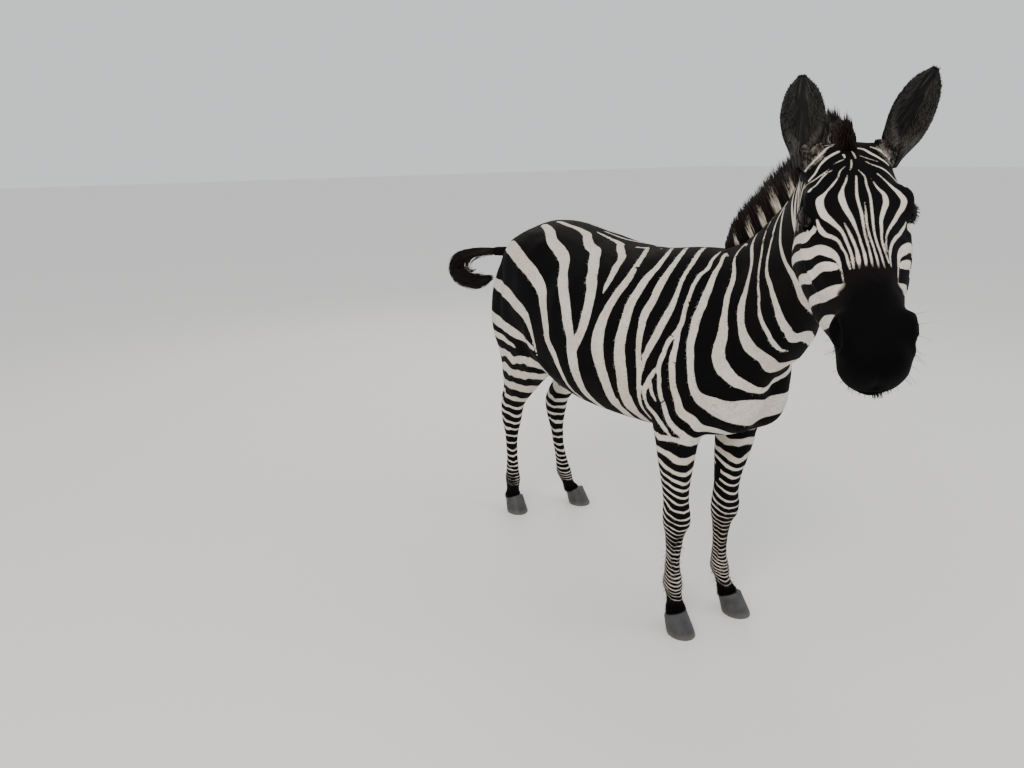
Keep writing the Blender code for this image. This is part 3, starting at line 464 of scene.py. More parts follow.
# The coat is black with white stripes. A stripe is a line of places on a chart of the skin, in mm, each with
# its half width: side and left (y, z), front and back (x, z), top and under (x, y), face (along, left),
# cheek (along, up). A chart's name holds until the next one.
flankStripes = (  # on both flanks
    ("side", (540, 1205, 18), (450, 1208, 27), (392, 1191, 28), (339, 1168, 27), (291, 1145, 25),
     (255, 1126, 25), (214, 1100, 24), (183, 1072, 24), (161, 1039, 24), (137, 1003, 22), (111, 962, 18),
     (98, 925, 16), (65, 880, 14), (46, 821, 12), (40, 760, 10), (30, 700, 8)),
    ("top", (-85, 405, 12), (-100, 360, 16), (-120, 312, 18), "side", (255, 1243, 20), (190, 1218, 22),
     (137, 1190, 23), (98, 1144, 23), (60, 1103, 23), (27, 1060, 23), (0, 1012, 22), (-27, 955, 18),
     (-32, 910, 22), (-40, 837, 23), (-42, 790, 20), (-50, 735, 17), (-60, 690, 12)),
    ("top", (-42, 370, 8), (-50, 292, 10), (-48, 238, 11), (-53, 200, 13), (-60, 165, 16), (-80, 135, 16),
     (-107, 85, 18), "side", (35, 1226, 20), (0, 1200, 21), (-27, 1176, 21), (-46, 1149, 21), (-64, 1127, 21),
     (-76, 1095, 21), (-81, 1024, 19), (-69, 969, 17), (-50, 935, 17), (-35, 912, 16)),
    ("top", (-16, 165, 4), (-20, 122, 6), (-24, 78, 7), (-30, 38, 9), (-42, 2, 11), (-70, -35, 13),
     (-100, -80, 13), "side", (-103, 1215, 14), (-114, 1190, 14), (-123, 1160, 12), (-123, 1137, 9),
     (-124, 1117, 4)),
    ("top", (-40, 2, 10), (-40, -22, 4)),
    ("top", (-40, -84, 5), (-37, -104, 6), (-28, -122, 4)),
    ("top", (-30, -195, 5), (-20, -182, 4)),
    ("top", (-18, -118, 5), (-55, -150, 8), (-95, -178, 10), "side", (-192, 1200, 12), (-197, 1167, 15),
     (-182, 1123, 15), (-166, 1075, 16), (-155, 1029, 19), (-148, 976, 25), (-150, 930, 26), (-163, 878, 21),
     (-173, 826, 20), (-174, 762, 20), (-180, 715, 18), (-190, 680, 12)),
    ("top", (-18, -230, 4), (-50, -256, 7), (-82, -274, 9), "side", (-276, 1203, 12), (-264, 1168, 14),
     (-257, 1142, 15), (-244, 1090, 16), (-242, 1042, 17), (-236, 983, 19), (-238, 926, 21), (-243, 874, 21),
     (-240, 820, 21), (-236, 757, 18), (-250, 700, 12)),
    ("top", (-15, -298, 5), (-45, -315, 8), (-80, -331, 10), "side", (-334, 1210, 12), (-329, 1184, 13),
     (-319, 1150, 14), (-316, 1113, 14), (-303, 1077, 14), (-299, 1024, 12), (-300, 955, 9), (-303, 895, 9),
     (-300, 830, 8), (-295, 790, 7), (-300, 720, 6)),
    ("top", (-15, -370, 7), (-50, -385, 8), (-85, -399, 9), "side", (-400, 1208, 8), (-400, 1183, 8),
     (-400, 1148, 9), (-398, 1109, 12), (-386, 1071, 14), (-372, 1035, 14), (-354, 995, 14), (-334, 959, 12),
     (-322, 930, 8), (-315, 895, 4)),
    ("top", (-50, -465, 5), "side", (-462, 1240, 7), (-466, 1225, 8), (-454, 1202, 8), (-450, 1171, 8),
     (-451, 1137, 9), (-452, 1106, 10), (-452, 1073, 10), (-445, 1046, 10), (-448, 1018, 8), (-445, 988, 10),
     (-438, 948, 11), (-438, 910, 11), (-442, 872, 12), (-454, 840, 13), (-470, 805, 15), (-497, 776, 16),
     "front", (-135, 752, 17), (-75, 735, 19), (-35, 722, 14), (-12, 716, 8)),
    ("side", (-445, 1046, 8), (-427, 1025, 8), (-413, 997, 9), (-403, 964, 9), (-392, 937, 9), (-392, 892, 8),
     (-391, 852, 8), (-397, 821, 9), (-411, 795, 10), (-430, 768, 11), (-452, 748, 11), (-477, 722, 11),
     "front", (-135, 700, 12), (-105, 690, 11)),
    ("side", (-392, 930, 6), (-364, 900, 8), (-337, 862, 10), (-322, 824, 9), (-327, 790, 8), (-349, 773, 9),
     (-379, 757, 10), (-410, 738, 9), (-438, 720, 4)),
    ("side", (-352, 861, 9), (-357, 840, 8), (-367, 822, 6), (-374, 805, 3)),
    ("side", (-505, 1300, 4), (-497, 1262, 6), (-505, 1245, 8), (-503, 1214, 10), (-502, 1180, 11),
     (-502, 1150, 12), (-505, 1120, 12), (-502, 1092, 13), (-502, 1055, 14), (-500, 1019, 13),
     (-501, 983, 13), (-503, 946, 13), (-509, 909, 15), (-521, 877, 20)),
    ("side", (-575, 1325, 5), (-573, 1295, 5), (-563, 1262, 6), (-577, 1235, 8), (-585, 1200, 12),
     (-581, 1164, 12), (-579, 1122, 11), (-576, 1079, 13), (-571, 1043, 15), (-568, 1008, 17),
     (-574, 976, 18), (-588, 950, 18)),
    ("side", (-635, 1350, 5), (-631, 1316, 6), (-652, 1280, 9), (-664, 1240, 8), (-662, 1202, 9),
     (-651, 1165, 11), (-641, 1130, 13), (-643, 1097, 16), (-655, 1062, 19), (-674, 1033, 21)),
    ("side", (-705, 1390, 5), (-703, 1335, 5), (-705, 1300, 6), (-710, 1267, 6), (-714, 1235, 6),
     (-713, 1204, 6), (-715, 1174, 7), (-719, 1144, 8), (-729, 1115, 8), (-742, 1087, 8), (-751, 1058, 8),
     (-760, 1041, 7), (-770, 1040, 4)),
    ("side", (-765, 1425, 8), (-758, 1385, 7), (-754, 1350, 6), (-749, 1320, 6), (-750, 1288, 7),
     (-752, 1260, 8), (-757, 1235, 9), (-767, 1215, 10), (-780, 1192, 11), (-788, 1165, 11), (-792, 1138, 13),
     (-798, 1110, 15)),
    ("side", (-785, 1425, 7), (-802, 1398, 7), (-818, 1360, 8), (-823, 1334, 9), (-836, 1310, 10),
     (-850, 1288, 11), (-870, 1264, 13), (-880, 1240, 14), (-878, 1210, 15), (-880, 1183, 15),
     (-885, 1155, 14)),
    ("side", (-875, 1480, 7), (-890, 1420, 8), (-915, 1370, 8), (-935, 1330, 7), (-945, 1290, 6)),
    ("side", (-930, 1520, 7), (-950, 1470, 8), (-975, 1430, 8)),
    # haunch
    ("side", (600, 1060, 20), (500, 1048, 23), (428, 1035, 24), (363, 1018, 24), (303, 1000, 22),
     (262, 980, 19), (235, 954, 14), (212, 921, 10), (197, 885, 7), (190, 850, 4)),
    ("side", (600, 935, 18), (560, 928, 20), (480, 912, 21), (422, 904, 20), (367, 895, 20), (315, 888, 17),
     (258, 882, 13), (205, 868, 8)),
    ("side", (560, 862, 14), (490, 856, 13), (430, 846, 10), (380, 838, 6)),
    ("back", (-170, 1046, 18), (-110, 1062, 18), (-60, 1085, 13), (-35, 1095, 7)),
    ("back", (-165, 930, 16), (-105, 950, 15), (-60, 985, 10), (-40, 1000, 5)),
    ("back", (-150, 858, 12), (-110, 868, 11), (-70, 890, 7)),
    ("back", (-150, 1190, 20), (-100, 1185, 18), (-60, 1175, 11), (-40, 1172, 6)),
    # belly
    ("under", (-200, -60, 12), (-120, -66, 12), (-50, -70, 10), (-18, -75, 6)),
    ("under", (-200, -190, 11), (-120, -196, 11), (-50, -200, 9), (-18, -205, 6)),
    ("under", (-200, -255, 9), (-120, -262, 10), (-50, -265, 9), (-18, -270, 6)),
    ("under", (-200, 35, 10), (-120, 30, 12), (-50, 26, 10), (-18, 22, 6)),
    ("under", (-190, 110, 9), (-120, 108, 12), (-50, 104, 10), (-18, 100, 6)),
    ("under", (-160, 190, 9), (-110, 186, 12), (-50, 182, 10), (-18, 180, 6)),
)
breastStripes = (  # across the breast and throat, from the right flank to the left
    ("side", (-501, 983, 13), (-503, 946, 13), (-510, 909, 15), (-524, 872, 20), "front", (-153, 842, 30),
     (-123, 826, 36), (-77, 823, 44), (-12, 820, 42), (30, 828, 38), (95, 840, 30), (135, 860, 24), "left",
     (-521, 877, 20), (-509, 909, 15)),
    ("side", (-571, 1043, 15), (-568, 1008, 17), (-574, 978, 18), (-590, 952, 18), "front", (-124, 927, 17),
     (-100, 911, 14), (-75, 898, 11), (-50, 893, 9), (-17, 900, 9), (10, 915, 9), (50, 935, 10),
     (85, 952, 12), "left", (-590, 960, 15), (-572, 980, 13)),
    ("side", (-643, 1097, 16), (-653, 1064, 19), (-668, 1035, 22), "front", (-104, 1000, 24), (-80, 978, 26),
     (-58, 985, 20), (-35, 996, 13), (-5, 990, 10), (35, 1000, 10), (65, 1015, 12), "left", (-668, 1040, 15)),
    ("front", (-135, 1095, 14), (-123, 1085, 20), (-105, 1090, 20), (-80, 1080, 16), (-40, 1060, 11),
     (0, 1060, 9)),
)
faceStripes = (  # down the face
    ("face", (196, -80, 2), (207, -78, 3.5), (217, -75, 5), (230, -67, 4.5), (240, -58, 4), (252, -50, 3.2),
     (269, -45, 2.6), (285, -40, 2.4), (302, -38, 2.4), (318, -36, 1.6)),
    ("face", (78, -20, .8), (90, -30, 1.2), (106, -36, 1.5), (122, -46, 2), (143, -63, 2.5), (160, -74, 7),
     (173, -74, 7), (187, -70, 7), (212, -55, 4.5), (234, -43, 3.4), (262, -36, 3), (290, -31, 3),
     (318, -30, 2)),
    ("face", (217, -37, 1), (231, -33, 2), (250, -28, 3), (280, -22, 3.2), (300, -21, 4.5), (320, -21, 2)),
    ("face", (104, -19, 1), (120, -24, 1.8), (142, -33, 3), (156, -36, 5.5), (180, -33, 5.2), (210, -24, 4),
     (241, -17, 2.6), (268, -13, 2.6), (293, -10, 3.2), (324, -10, 2)),
    ("face", (108, -4, 1.2), (133, -7, 2), (158, -9, 2.3), (200, -6, 2.4), (247, -5, 2.2), (284, -1, 2.3),
     (300, 0, 2.5), (326, 1, 1.4)),
    ("face", (176, 3, .8), (200, 2, 1.5), (223, 1, 1.8), (251, 3, 2), (277, 7, 2), (301, 10, 2.4),
     (330, 11, 1.2)),
    ("face", (92, 2, 1), (111, 11, 1.6), (133, 11, 2), (158, 14, 2.2), (204, 13, 2.4), (240, 12, 2.2),
     (265, 14, 2.3), (289, 18, 2.4), (320, 22, 1.4)),
    ("face", (116, 23, 1), (139, 30, 2.2), (156, 41, 4.5), (173, 42, 5.5), (193, 35, 4.5), (215, 28, 3.4),
     (236, 26, 3), (260, 24, 2.6), (280, 26, 2.4), (308, 31, 1.6)),
    ("face", (100, 36, 1), (125, 54, 2.5), (149, 70, 5), (165, 76, 5.5), (180, 72, 5), (196, 62, 4),
     (211, 54, 3.6), (227, 44, 2.8), (245, 35, 2), (265, 31, 1.6), (284, 30, 1.4)),
    ("face", (205, 78, 1.5), (218, 72, 3), (233, 63, 3.6), (251, 50, 4), (267, 41, 3.2), (290, 35, 2.6),
     (315, 34, 1.4)),
    # forehead, right
    ("face", (84, -44, 1.2), (91, -58, 2), (107, -73, 2.4), (130, -90, 3)),
    ("face", (78, -48, .8), (85, -61, 1.6), (88, -74, 1.8), (87, -88, 2)),
    ("face", (27, -24, 3.2), (34, -35, 3.2), (45, -50, 3), (57, -61, 2.6), (71, -70, 2.4), (80, -81, 2.4)),
    ("face", (0, -30, 1.6), (5, -38, 2), (23, -52, 2), (38, -68, 2), (45, -83, 2.2)),
    ("face", (-8, -25, 1.4), (-4, -40, 1.6), (0, -55, 1.5)),
    # forehead, left
    ("face", (12, 40, 1.6), (22, 52, 1.6), (32, 63, 1.5), (40, 72, 1.4)),
    ("face", (18, 8, 2), (21, 22, 3), (38, 37, 3.4), (49, 52, 3), (58, 68, 2.4)),
    ("face", (62, 18, 1), (72, 28, 1.6), (83, 51, 2.4), (96, 75, 2.8), (125, 86, 3)),
    ("face", (45, 10, .8), (55, 28, 1.2), (62, 45, 1)),
    ("face", (40, -17, 2), (50, -16, 1.6)),
    ("face", (66, -38, 1), (60, -28, 1.4), (56, -19, 1)),
    ("face", (60, -6, 1), (76, -8, 1.6), (90, -12, 1)),
    ("face", (30, 0, 1), (42, 2, 1.6), (56, 3, 1)),
)
cheekStripes = (  # on both cheeks
    ("cheek", (100, -215, 6), (135, -160, 7), (160, -110, 8), (182, -78, 10), (200, -54, 13), (207, -38, 13),
     (207, -29, 10)),
    ("cheek", (112, -250, 6), (145, -205, 8), (175, -150, 9), (205, -104, 10), (229, -72, 11), (246, -50, 11),
     "face", (258, -76, 9.5), (270, -64, 8.5), (281, -56, 6), (296, -51, 3.2), (313, -49, 2), (331, -47, 1.4),
     (345, -46, 1)),
    ("cheek", (195, -225, 6), (218, -175, 8), (238, -139, 10), (263, -105, 11), (281, -74, 10.5), "face",
     (293, -72, 9), (300, -61, 8), (304, -55, 5)),
    ("cheek", (250, -225, 5), (276, -178, 7), (292, -142, 9), (312, -102, 10.5), (329, -78, 11),
     (339, -54, 11.5), (346, -36, 11), (350, -24, 9)),
    ("cheek", (318, -195, 5), (342, -152, 10), (363, -110, 12), (383, -77, 10), (398, -50, 5)),
    ("cheek", (262, -204, 6), (290, -204, 7), (318, -195, 7)),
    ("cheek", (148, -75, 2), (130, -58, 3), (108, -44, 3)),
    ("cheek", (150, -92, 2), (118, -72, 3.5), (90, -50, 3.5), (76, -34, 2)),
    ("cheek", (132, -112, 2), (105, -92, 4.5), (75, -70, 4.5), (58, -52, 3)),
    ("cheek", (128, -145, 4), (95, -125, 6), (60, -100, 6), (38, -72, 4)),
    ("cheek", (110, -185, 6), (75, -160, 7), (38, -130, 7), (12, -100, 6), (2, -72, 5), (0, -45, 4)),
    ("cheek", (75, -225, 7), (40, -190, 8), (5, -150, 8), (-20, -120, 7), (-32, -88, 8), (-30, -55, 9)),
)
# White rings on the legs: spacing and share by height. A share of 0 is half white, -1 is black.
markings = {
    "backLine": 0.014,  # half width of the black line down the back
    "eyeRing": 0.0235,
    "hind": {
        "first": 0.787,  # height of the top ring's middle
        "fade": (0.824, 0.810),  # the rings start between these heights
        "tilt": (0.15, 0.60),  # how steeply they tilt, round this y
        "spacing": ((0.02, 0.012), (0.15, 0.012), (0.20, 0.019), (0.30, 0.030), (0.40, 0.043), (0.50, 0.038),
                    (0.55, 0.046), (0.62, 0.066), (0.70, 0.073), (0.80, 0.066)),
        "share": ((0.06, -1.6), (0.110, -1.4), (0.130, -0.85), (0.22, -0.80), (0.40, -0.62), (0.55, -0.30),
                  (0.68, -0.05), (0.80, 0.0)),
    },
    "fore": {
        "first": 0.700,
        "fade": (0.724, 0.708),
        "tilt": (0.40, -0.405),
        "spacing": ((0.02, 0.012), (0.10, 0.012), (0.20, 0.0135), (0.30, 0.018), (0.40, 0.022), (0.50, 0.025),
                    (0.58, 0.031), (0.62, 0.042), (0.70, 0.056)),
        "share": ((0.06, -1.6), (0.100, -1.4), (0.115, -0.80), (0.20, -0.78), (0.40, -0.78), (0.56, -0.60),
                  (0.64, -0.20), (0.70, 0.0)),
    },
    "chestnut": (60, -404, 525),
    "chestnutEdge": (0.017, 0.013),
    "earFoot": (0.018, 0.084, -0.010),
    "earFootReach": 0.034,
    "dock": (0.66, 0.68),  # y from which the tail is nearly black
    "muzzleStart": 0.318,
    "deepest": 0.04,  # the stripes' field is metres inside a white stripe, negative in the black
}


def addStripes(field, points, tree, rows, flank, step, thin=False):
    for row in rows:
        knots = []
        for place in row:
            if isinstance(place, str):
                chart = place
                continue
            half = place[2] / 1000 * (1 - 0.2 * smoothstep(210, 250, place[0]) * thin)
            knots.append([*castTo(tree, chart, place[:2], flank), half])
        curve = curveThrough(knots, step)
        distance, nearest = nearCurve(points, curve, curve[:, 3].max() + markings["deepest"])
        inside = np.where(distance < 9, curve[nearest, 3] - distance, -markings["deepest"])
        np.maximum(field, np.maximum(inside, -markings["deepest"]), out=field)


def ringTurns(height, rings):  # turns of the rings' wave at a height, 0 at the first ring
    z = np.linspace(0, 1.0, 501)
    rate = 1 / steps(rings["spacing"], z)
    turns = np.concatenate(([0], np.cumsum((rate[1:] + rate[:-1]) / 2 * 0.002)))
    return np.interp(height, z, turns) - np.interp(rings["first"], z, turns)


def paint(points, tree):
    field = np.full(len(points), -markings["deepest"])
    for flank in flanks.values():
        addStripes(field, points, tree, flankStripes, flank, 0.006)
        addStripes(field, points, tree, cheekStripes, flank, 0.0025)
    addStripes(field, points, tree, breastStripes, -1, 0.006)
    addStripes(field, points, tree, faceStripes, -1, 0.0015, thin=True)
    for flank in flanks.values():
        centre, out, along, above = eyeAxes(flank)  # black round the eye
        away = points - centre
        apart = np.sqrt((away @ along / 1.20) ** 2 + (away @ above - 0.001) ** 2 + (away @ out * 0.5) ** 2)
        near = np.linalg.norm(away, axis=1) < 0.06
        field = np.where(near, np.minimum(field, apart - markings["eyeRing"]), field)
    for flank in flanks.values():  # mottled hair at the ear's foot
        away = np.linalg.norm(points - fromHead(np.array(markings["earFoot"]) * (1, flank, 1)), axis=1)
        mottle = -0.00062 + 0.0003 * wave(points, 0.012, 9)
        field = np.maximum(field, mottle - 0.15 * np.clip(away - markings["earFootReach"], 0, 1))
    back = (points[:, 1] > -0.44) & (points[:, 2] > 1.0)
    field = np.where(back, np.minimum(field, np.abs(points[:, 0]) - markings["backLine"]), field)
    dock = smoothstep(*markings["dock"], points[:, 1]) * (points[:, 2] > 1.06)
    field = field * (1 - dock) - 0.01 * dock

    tilted = smoothstep(0.70, 0.55, points[:, 2]) * smoothstep(0.04, 0.12, points[:, 2])
    found = []
    for rings in (markings["hind"], markings["fore"]):
        slope, level = rings["tilt"]
        height = points[:, 2] + slope * (level - points[:, 1]) * tilted
        found.append((height, ringTurns(height, rings), steps(rings["share"], height),
                      smoothstep(*rings["fade"], height)))
    hind = points[:, 1] > 0.05
    height, turns, share, legs = (np.where(hind, *pair) for pair in zip(*found))
    low = smoothstep(0.55, 0.30, height)
    turns = turns + wave(points, 0.11, 5) * 0.15 + wave(points, 0.045, 6) * (0.03 + 0.09 * low)
    stifle = steps(((0.68, 0.09), (0.80, 0.20)), points[:, 2])
    legs = legs * np.where(hind, smoothstep(stifle - 0.01, stifle + 0.01, points[:, 1]),
                           smoothstep(-0.285, -0.305, points[:, 1]))
    inner = smoothstep(0.10, 0.05, np.abs(points[:, 0])) * smoothstep(0.52, 0.64, height)
    share = share + 0.2 * wave(points, 0.12, 7) + 0.7 * inner
    for flank in flanks.values():
        away = points - castTo(tree, "near", markings["chestnut"], flank)
        spot = np.sqrt(away[:, 0] ** 2 + away[:, 1] ** 2 + (0.5 * away[:, 2]) ** 2)
        share -= 4 * smoothstep(*markings["chestnutEdge"], spot)

    places, head = toHead(points), headShareAt(points)
    start = markings["muzzleStart"] + 0.45 * np.clip(np.abs(places[:, 1]) - 0.025, 0, 0.05)
    start += np.clip(-0.012 - places[:, 2], 0, 0.05) + 0.28 * np.clip(-0.06 - places[:, 2], 0, 0.2)
    muzzle = np.where(head > 0.3, places[:, 0] - start + 0.004 * wave(points, 0.02, 8), -0.2)
    return {"stripe": field, "ring": turns * 2 * math.pi, "ringShare": share, "legShare": legs, "muzzle": muzzle,
            "headShare": head}


skinTree, skinPoints, skinCorners = surfaceTree(skin.data)
skinNormals = meshNormals(skin.data)
paints = paint(skinPoints, skinTree)
for name, values in paints.items():
    setAttribute(skin.data, name, values)
report("stripes laid")


def colour(code):  # sRGB hex to linear
    parts = [int(code[k:k + 2], 16) / 255 for k in (1, 3, 5)]
    return (*(c / 12.92 if c <= 0.04045 else ((c + 0.055) / 1.055) ** 2.4 for c in parts), 1.0)


def addNode(tree, kind, inputs=(), **settings):
    # Inputs are in the sockets' order or by name; each is a value, a socket, or a node's first output.
    node = tree.nodes.new(kind)
    for key, value in settings.items():
        setattr(node, key, value)
    if not isinstance(inputs, dict):
        inputs = dict(zip([k for k, socket in enumerate(node.inputs) if socket.enabled], inputs))
    for key, value in inputs.items():
        if isinstance(value, bpy.types.Node):
            value = next(socket for socket in value.outputs if socket.enabled)
        if isinstance(value, bpy.types.NodeSocket):
            tree.links.new(node.inputs[key], value)
        else:
            node.inputs[key].default_value = value
    return node


def newMaterial(name):
    material = bpy.data.materials.new(name)
    material.use_nodes = True
    material.node_tree.nodes.clear()
    return material, material.node_tree


def coatMaterial(name, onSkin):
    # Short hair, black and white, dull with hardly any shine. The stripes' edges break by a hair's width.
    material, tree = newMaterial(name)
    place = addNode(tree, "ShaderNodeTexCoord").outputs["Object"]
    read = {key: addNode(tree, "ShaderNodeAttribute", attribute_name=key).outputs["Fac"] for key in paints}
    rings = addNode(tree, "ShaderNodeMath", [read["ring"]], operation="COSINE")
    rings = addNode(tree, "ShaderNodeMath", [rings, read["ringShare"]], operation="ADD")
    rings = addNode(tree, "ShaderNodeMath", [rings, 0.0055], operation="MULTIPLY")
    field = addNode(tree, "ShaderNodeMix", [read["legShare"], read["stripe"], rings])
    fine = addNode(tree, "ShaderNodeMath", [read["headShare"], read["legShare"]], operation="MAXIMUM")
    coarse = addNode(tree, "ShaderNodeMapRange", [fine, 0.0, 1.0, 1.0, 0.25])
    for scale, swing in ((260.0, 0.0020), (38.0, 0.0025)):  # patterns of 4 and 26 mm
        noise = addNode(tree, "ShaderNodeTexNoise", [place, scale, 2.0])
        swung = addNode(tree, "ShaderNodeMapRange", [noise, 0.0, 1.0, -swing, swing])
        swung = addNode(tree, "ShaderNodeMath", [swung, coarse], operation="MULTIPLY")
        field = addNode(tree, "ShaderNodeMath", [field, swung], operation="ADD")
    white = addNode(tree, "ShaderNodeMapRange", [field, -0.0011, 0.0011], interpolation_type="SMOOTHSTEP")
    patches = addNode(tree, "ShaderNodeTexNoise", [place, 7.0, 4.0])  # hand-sized
    dark, pale = (
        addNode(tree, "ShaderNodeMix", [addNode(tree, "ShaderNodeMapRange", [patches, 0.35, 0.75, 0.0, most]),
                                        colour(plain), colour(warm)], data_type="RGBA")
        for most, plain, warm in ((0.6, "#070708", "#110d0c"), (0.7, "#d8d3ca", "#c2b5a2")))
    mixed = addNode(tree, "ShaderNodeMix", [white, dark, pale], data_type="RGBA")
    nose = addNode(tree, "ShaderNodeMapRange", [read["muzzle"], -0.010, 0.006], interpolation_type="SMOOTHSTEP")
    deep = addNode(tree, "ShaderNodeMapRange", [read["muzzle"], 0.0, 0.05])
    deep = addNode(tree, "ShaderNodeMix", [deep, colour("#120e0e"), colour("#030304")], data_type="RGBA")
    mixed = addNode(tree, "ShaderNodeMix", [nose, mixed, deep], data_type="RGBA")
    streaks = addNode(tree, "ShaderNodeTexNoise", [place, 120.0, 3.0])  # 8 mm
    shade = addNode(tree, "ShaderNodeMapRange", [streaks, 0.2, 0.8, 0.80, 1.12])
    grey = addNode(tree, "ShaderNodeCombineColor", [shade, shade, shade])
    mixed = addNode(tree, "ShaderNodeMix", [1.0, mixed, grey], data_type="RGBA", blend_type="MULTIPLY")
    surface = {"Base Color": mixed, "Roughness": 0.72, "Specular IOR Level": 0.05}
    if onSkin:  # hair lies along the body, down the legs and down the face
        along, down = (addNode(tree, "ShaderNodeTexNoise", {
            "Vector": addNode(tree, "ShaderNodeMapping", {"Vector": place, "Scale": scale}), "Scale": 1.0,
            "Detail": 3.0}) for scale in ((520.0, 60.0, 300.0), (480.0, 480.0, 60.0)))
        height = addNode(tree, "ShaderNodeMix", [fine, along, down])
        surface["Normal"] = addNode(tree, "ShaderNodeBump", {"Strength": 0.35, "Distance": 0.002, "Height": height})
    addNode(tree, "ShaderNodeOutputMaterial", [addNode(tree, "ShaderNodeBsdfPrincipled", surface)])
    return material


skin.data.materials.clear()
skin.data.materials.append(coatMaterial("shortStripedHair", True))
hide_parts(*fleshNodes)
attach(skin, "root")

# Eyes: a wet dark ball whose clear front stands out, in bare black lids.
eyeMaterial, tree = newMaterial("wetDarkEye")  # dark brown iris round a level slot pupil, under a clear wet coat
read = {key: addNode(tree, "ShaderNodeAttribute", attribute_name=key).outputs["Fac"] for key in ("eyeAlong", "eyeUp")}
pupil, iris = [], []
for key, half, power in (("eyeAlong", 0.34, 2.6), ("eyeUp", 0.17, 2.0)):
    share = addNode(tree, "ShaderNodeMath", [read[key], half], operation="DIVIDE")
    share = addNode(tree, "ShaderNodeMath", [share], operation="ABSOLUTE")
    pupil.append(addNode(tree, "ShaderNodeMath", [share, power], operation="POWER"))
    iris.append(addNode(tree, "ShaderNodeMath", [read[key], read[key]], operation="MULTIPLY"))
pupil = addNode(tree, "ShaderNodeMath", pupil, operation="ADD")
pupil = addNode(tree, "ShaderNodeMapRange", [pupil, 1.25, 0.75])
around = addNode(tree, "ShaderNodeMath", iris, operation="ADD")
around = addNode(tree, "ShaderNodeMath", [around], operation="SQRT")
rim = addNode(tree, "ShaderNodeMapRange", [around, 0.60, 0.72])
place = addNode(tree, "ShaderNodeTexCoord").outputs["Object"]
fibres = addNode(tree, "ShaderNodeTexNoise", [place, 420.0, 3.0])  # 2.4 mm
base = addNode(tree, "ShaderNodeMix", [fibres, colour("#0e0805"), colour("#2c190d")], data_type="RGBA")
base = addNode(tree, "ShaderNodeMix", [rim, base, colour("#0c0807")], data_type="RGBA")
base = addNode(tree, "ShaderNodeMix", [pupil, base, colour("#050404")], data_type="RGBA")
addNode(tree, "ShaderNodeOutputMaterial", [addNode(tree, "ShaderNodeBsdfPrincipled", {
    "Base Color": base, "Roughness": 0.30, "Specular IOR Level": 0.2, "Coat Weight": 0.6, "Coat Roughness": 0.02,
    "Coat IOR": 1.38})])

lidMaterial, tree = newMaterial("bareBlackLidSkin")  # bare wet-edged skin, finely wrinkled
place = addNode(tree, "ShaderNodeTexCoord").outputs["Object"]
wrinkles = addNode(tree, "ShaderNodeTexNoise", [place, 600.0, 2.0])  # 1.7 mm
addNode(tree, "ShaderNodeOutputMaterial", [addNode(tree, "ShaderNodeBsdfPrincipled", {
    "Base Color": addNode(tree, "ShaderNodeMix", [wrinkles, colour("#060505"), colour("#141110")], data_type="RGBA"),
    "Normal": addNode(tree, "ShaderNodeBump", {"Strength": 0.4, "Distance": 0.0006, "Height": wrinkles}),
    "Roughness": 0.5, "Specular IOR Level": 0.2})])


def eyeBall(name, flank):
    centre, out, along, above = eyeAxes(flank)
    ball = bmesh.new()
    bmesh.ops.create_uvsphere(ball, u_segments=48, v_segments=32, radius=1.0)
    mesh = meshFrom(name, ball)
    local = readNumbers(mesh.vertices, "co", 3)  # x along the eye, y up, z outwards
    swell = eyeSettings["ballShare"] * (1 + eyeSettings["bulge"] * smoothstep(0.72, 1.0, local[:, 2]))
    if np.dot(np.cross(along, above), out) < 0:
        mesh.flip_normals()
    setPoints(mesh, centre + (local * swell[:, None] * eyeSettings["radius"]) @ np.array((along, above, out)))
    for k, key in enumerate(("eyeAlong", "eyeUp")):
        setAttribute(mesh, key, local[:, k])
    mesh.shade_smooth()
    return addObject(name, mesh)


def tubeAlong(path, radii, sides=8, closed=False):
    # Points and faces of a round tube through the path; its ends are closed unless the path is.
    ahead = np.roll(path, -1, 0) - np.roll(path, 1, 0)
    if not closed:
        ahead[0], ahead[-1] = path[1] - path[0], path[-1] - path[-2]
    ahead = unit(ahead)
    side = unit(np.cross(ahead[0], (0.31, 0.17, 0.93)))
    turns = np.arange(sides) * 2 * math.pi / sides
    rings = []
    for k, point in enumerate(path):
        side = unit(side - side @ ahead[k] * ahead[k])
        above = np.cross(ahead[k], side)
        rings.append(point + radii[k] * (np.cos(turns)[:, None] * side + np.sin(turns)[:, None] * above))
    count = len(path)
    faces = [(k * sides + j, k * sides + (j + 1) % sides, (k + 1) % count * sides + (j + 1) % sides,
              (k + 1) % count * sides + j) for k in range(count if closed else count - 1) for j in range(sides)]
    if not closed:
        faces += [tuple(range(sides - 1, -1, -1)), tuple((count - 1) * sides + j for j in range(sides))]
    return np.vstack(rings), faces


lidSettings = {
    "places": 64,  # round the opening, upper edge first
    "rim": (0.0006, 0.0012, 0.0017, 0.0008),  # outside the opening, off the ball, radius, what it gains above
    "folds": ((0.0050, 0.0020, 2, 31, 0.0016), (0.0040, 0.0016, 35, 62, 0.0011)),  # the same, with their places
}


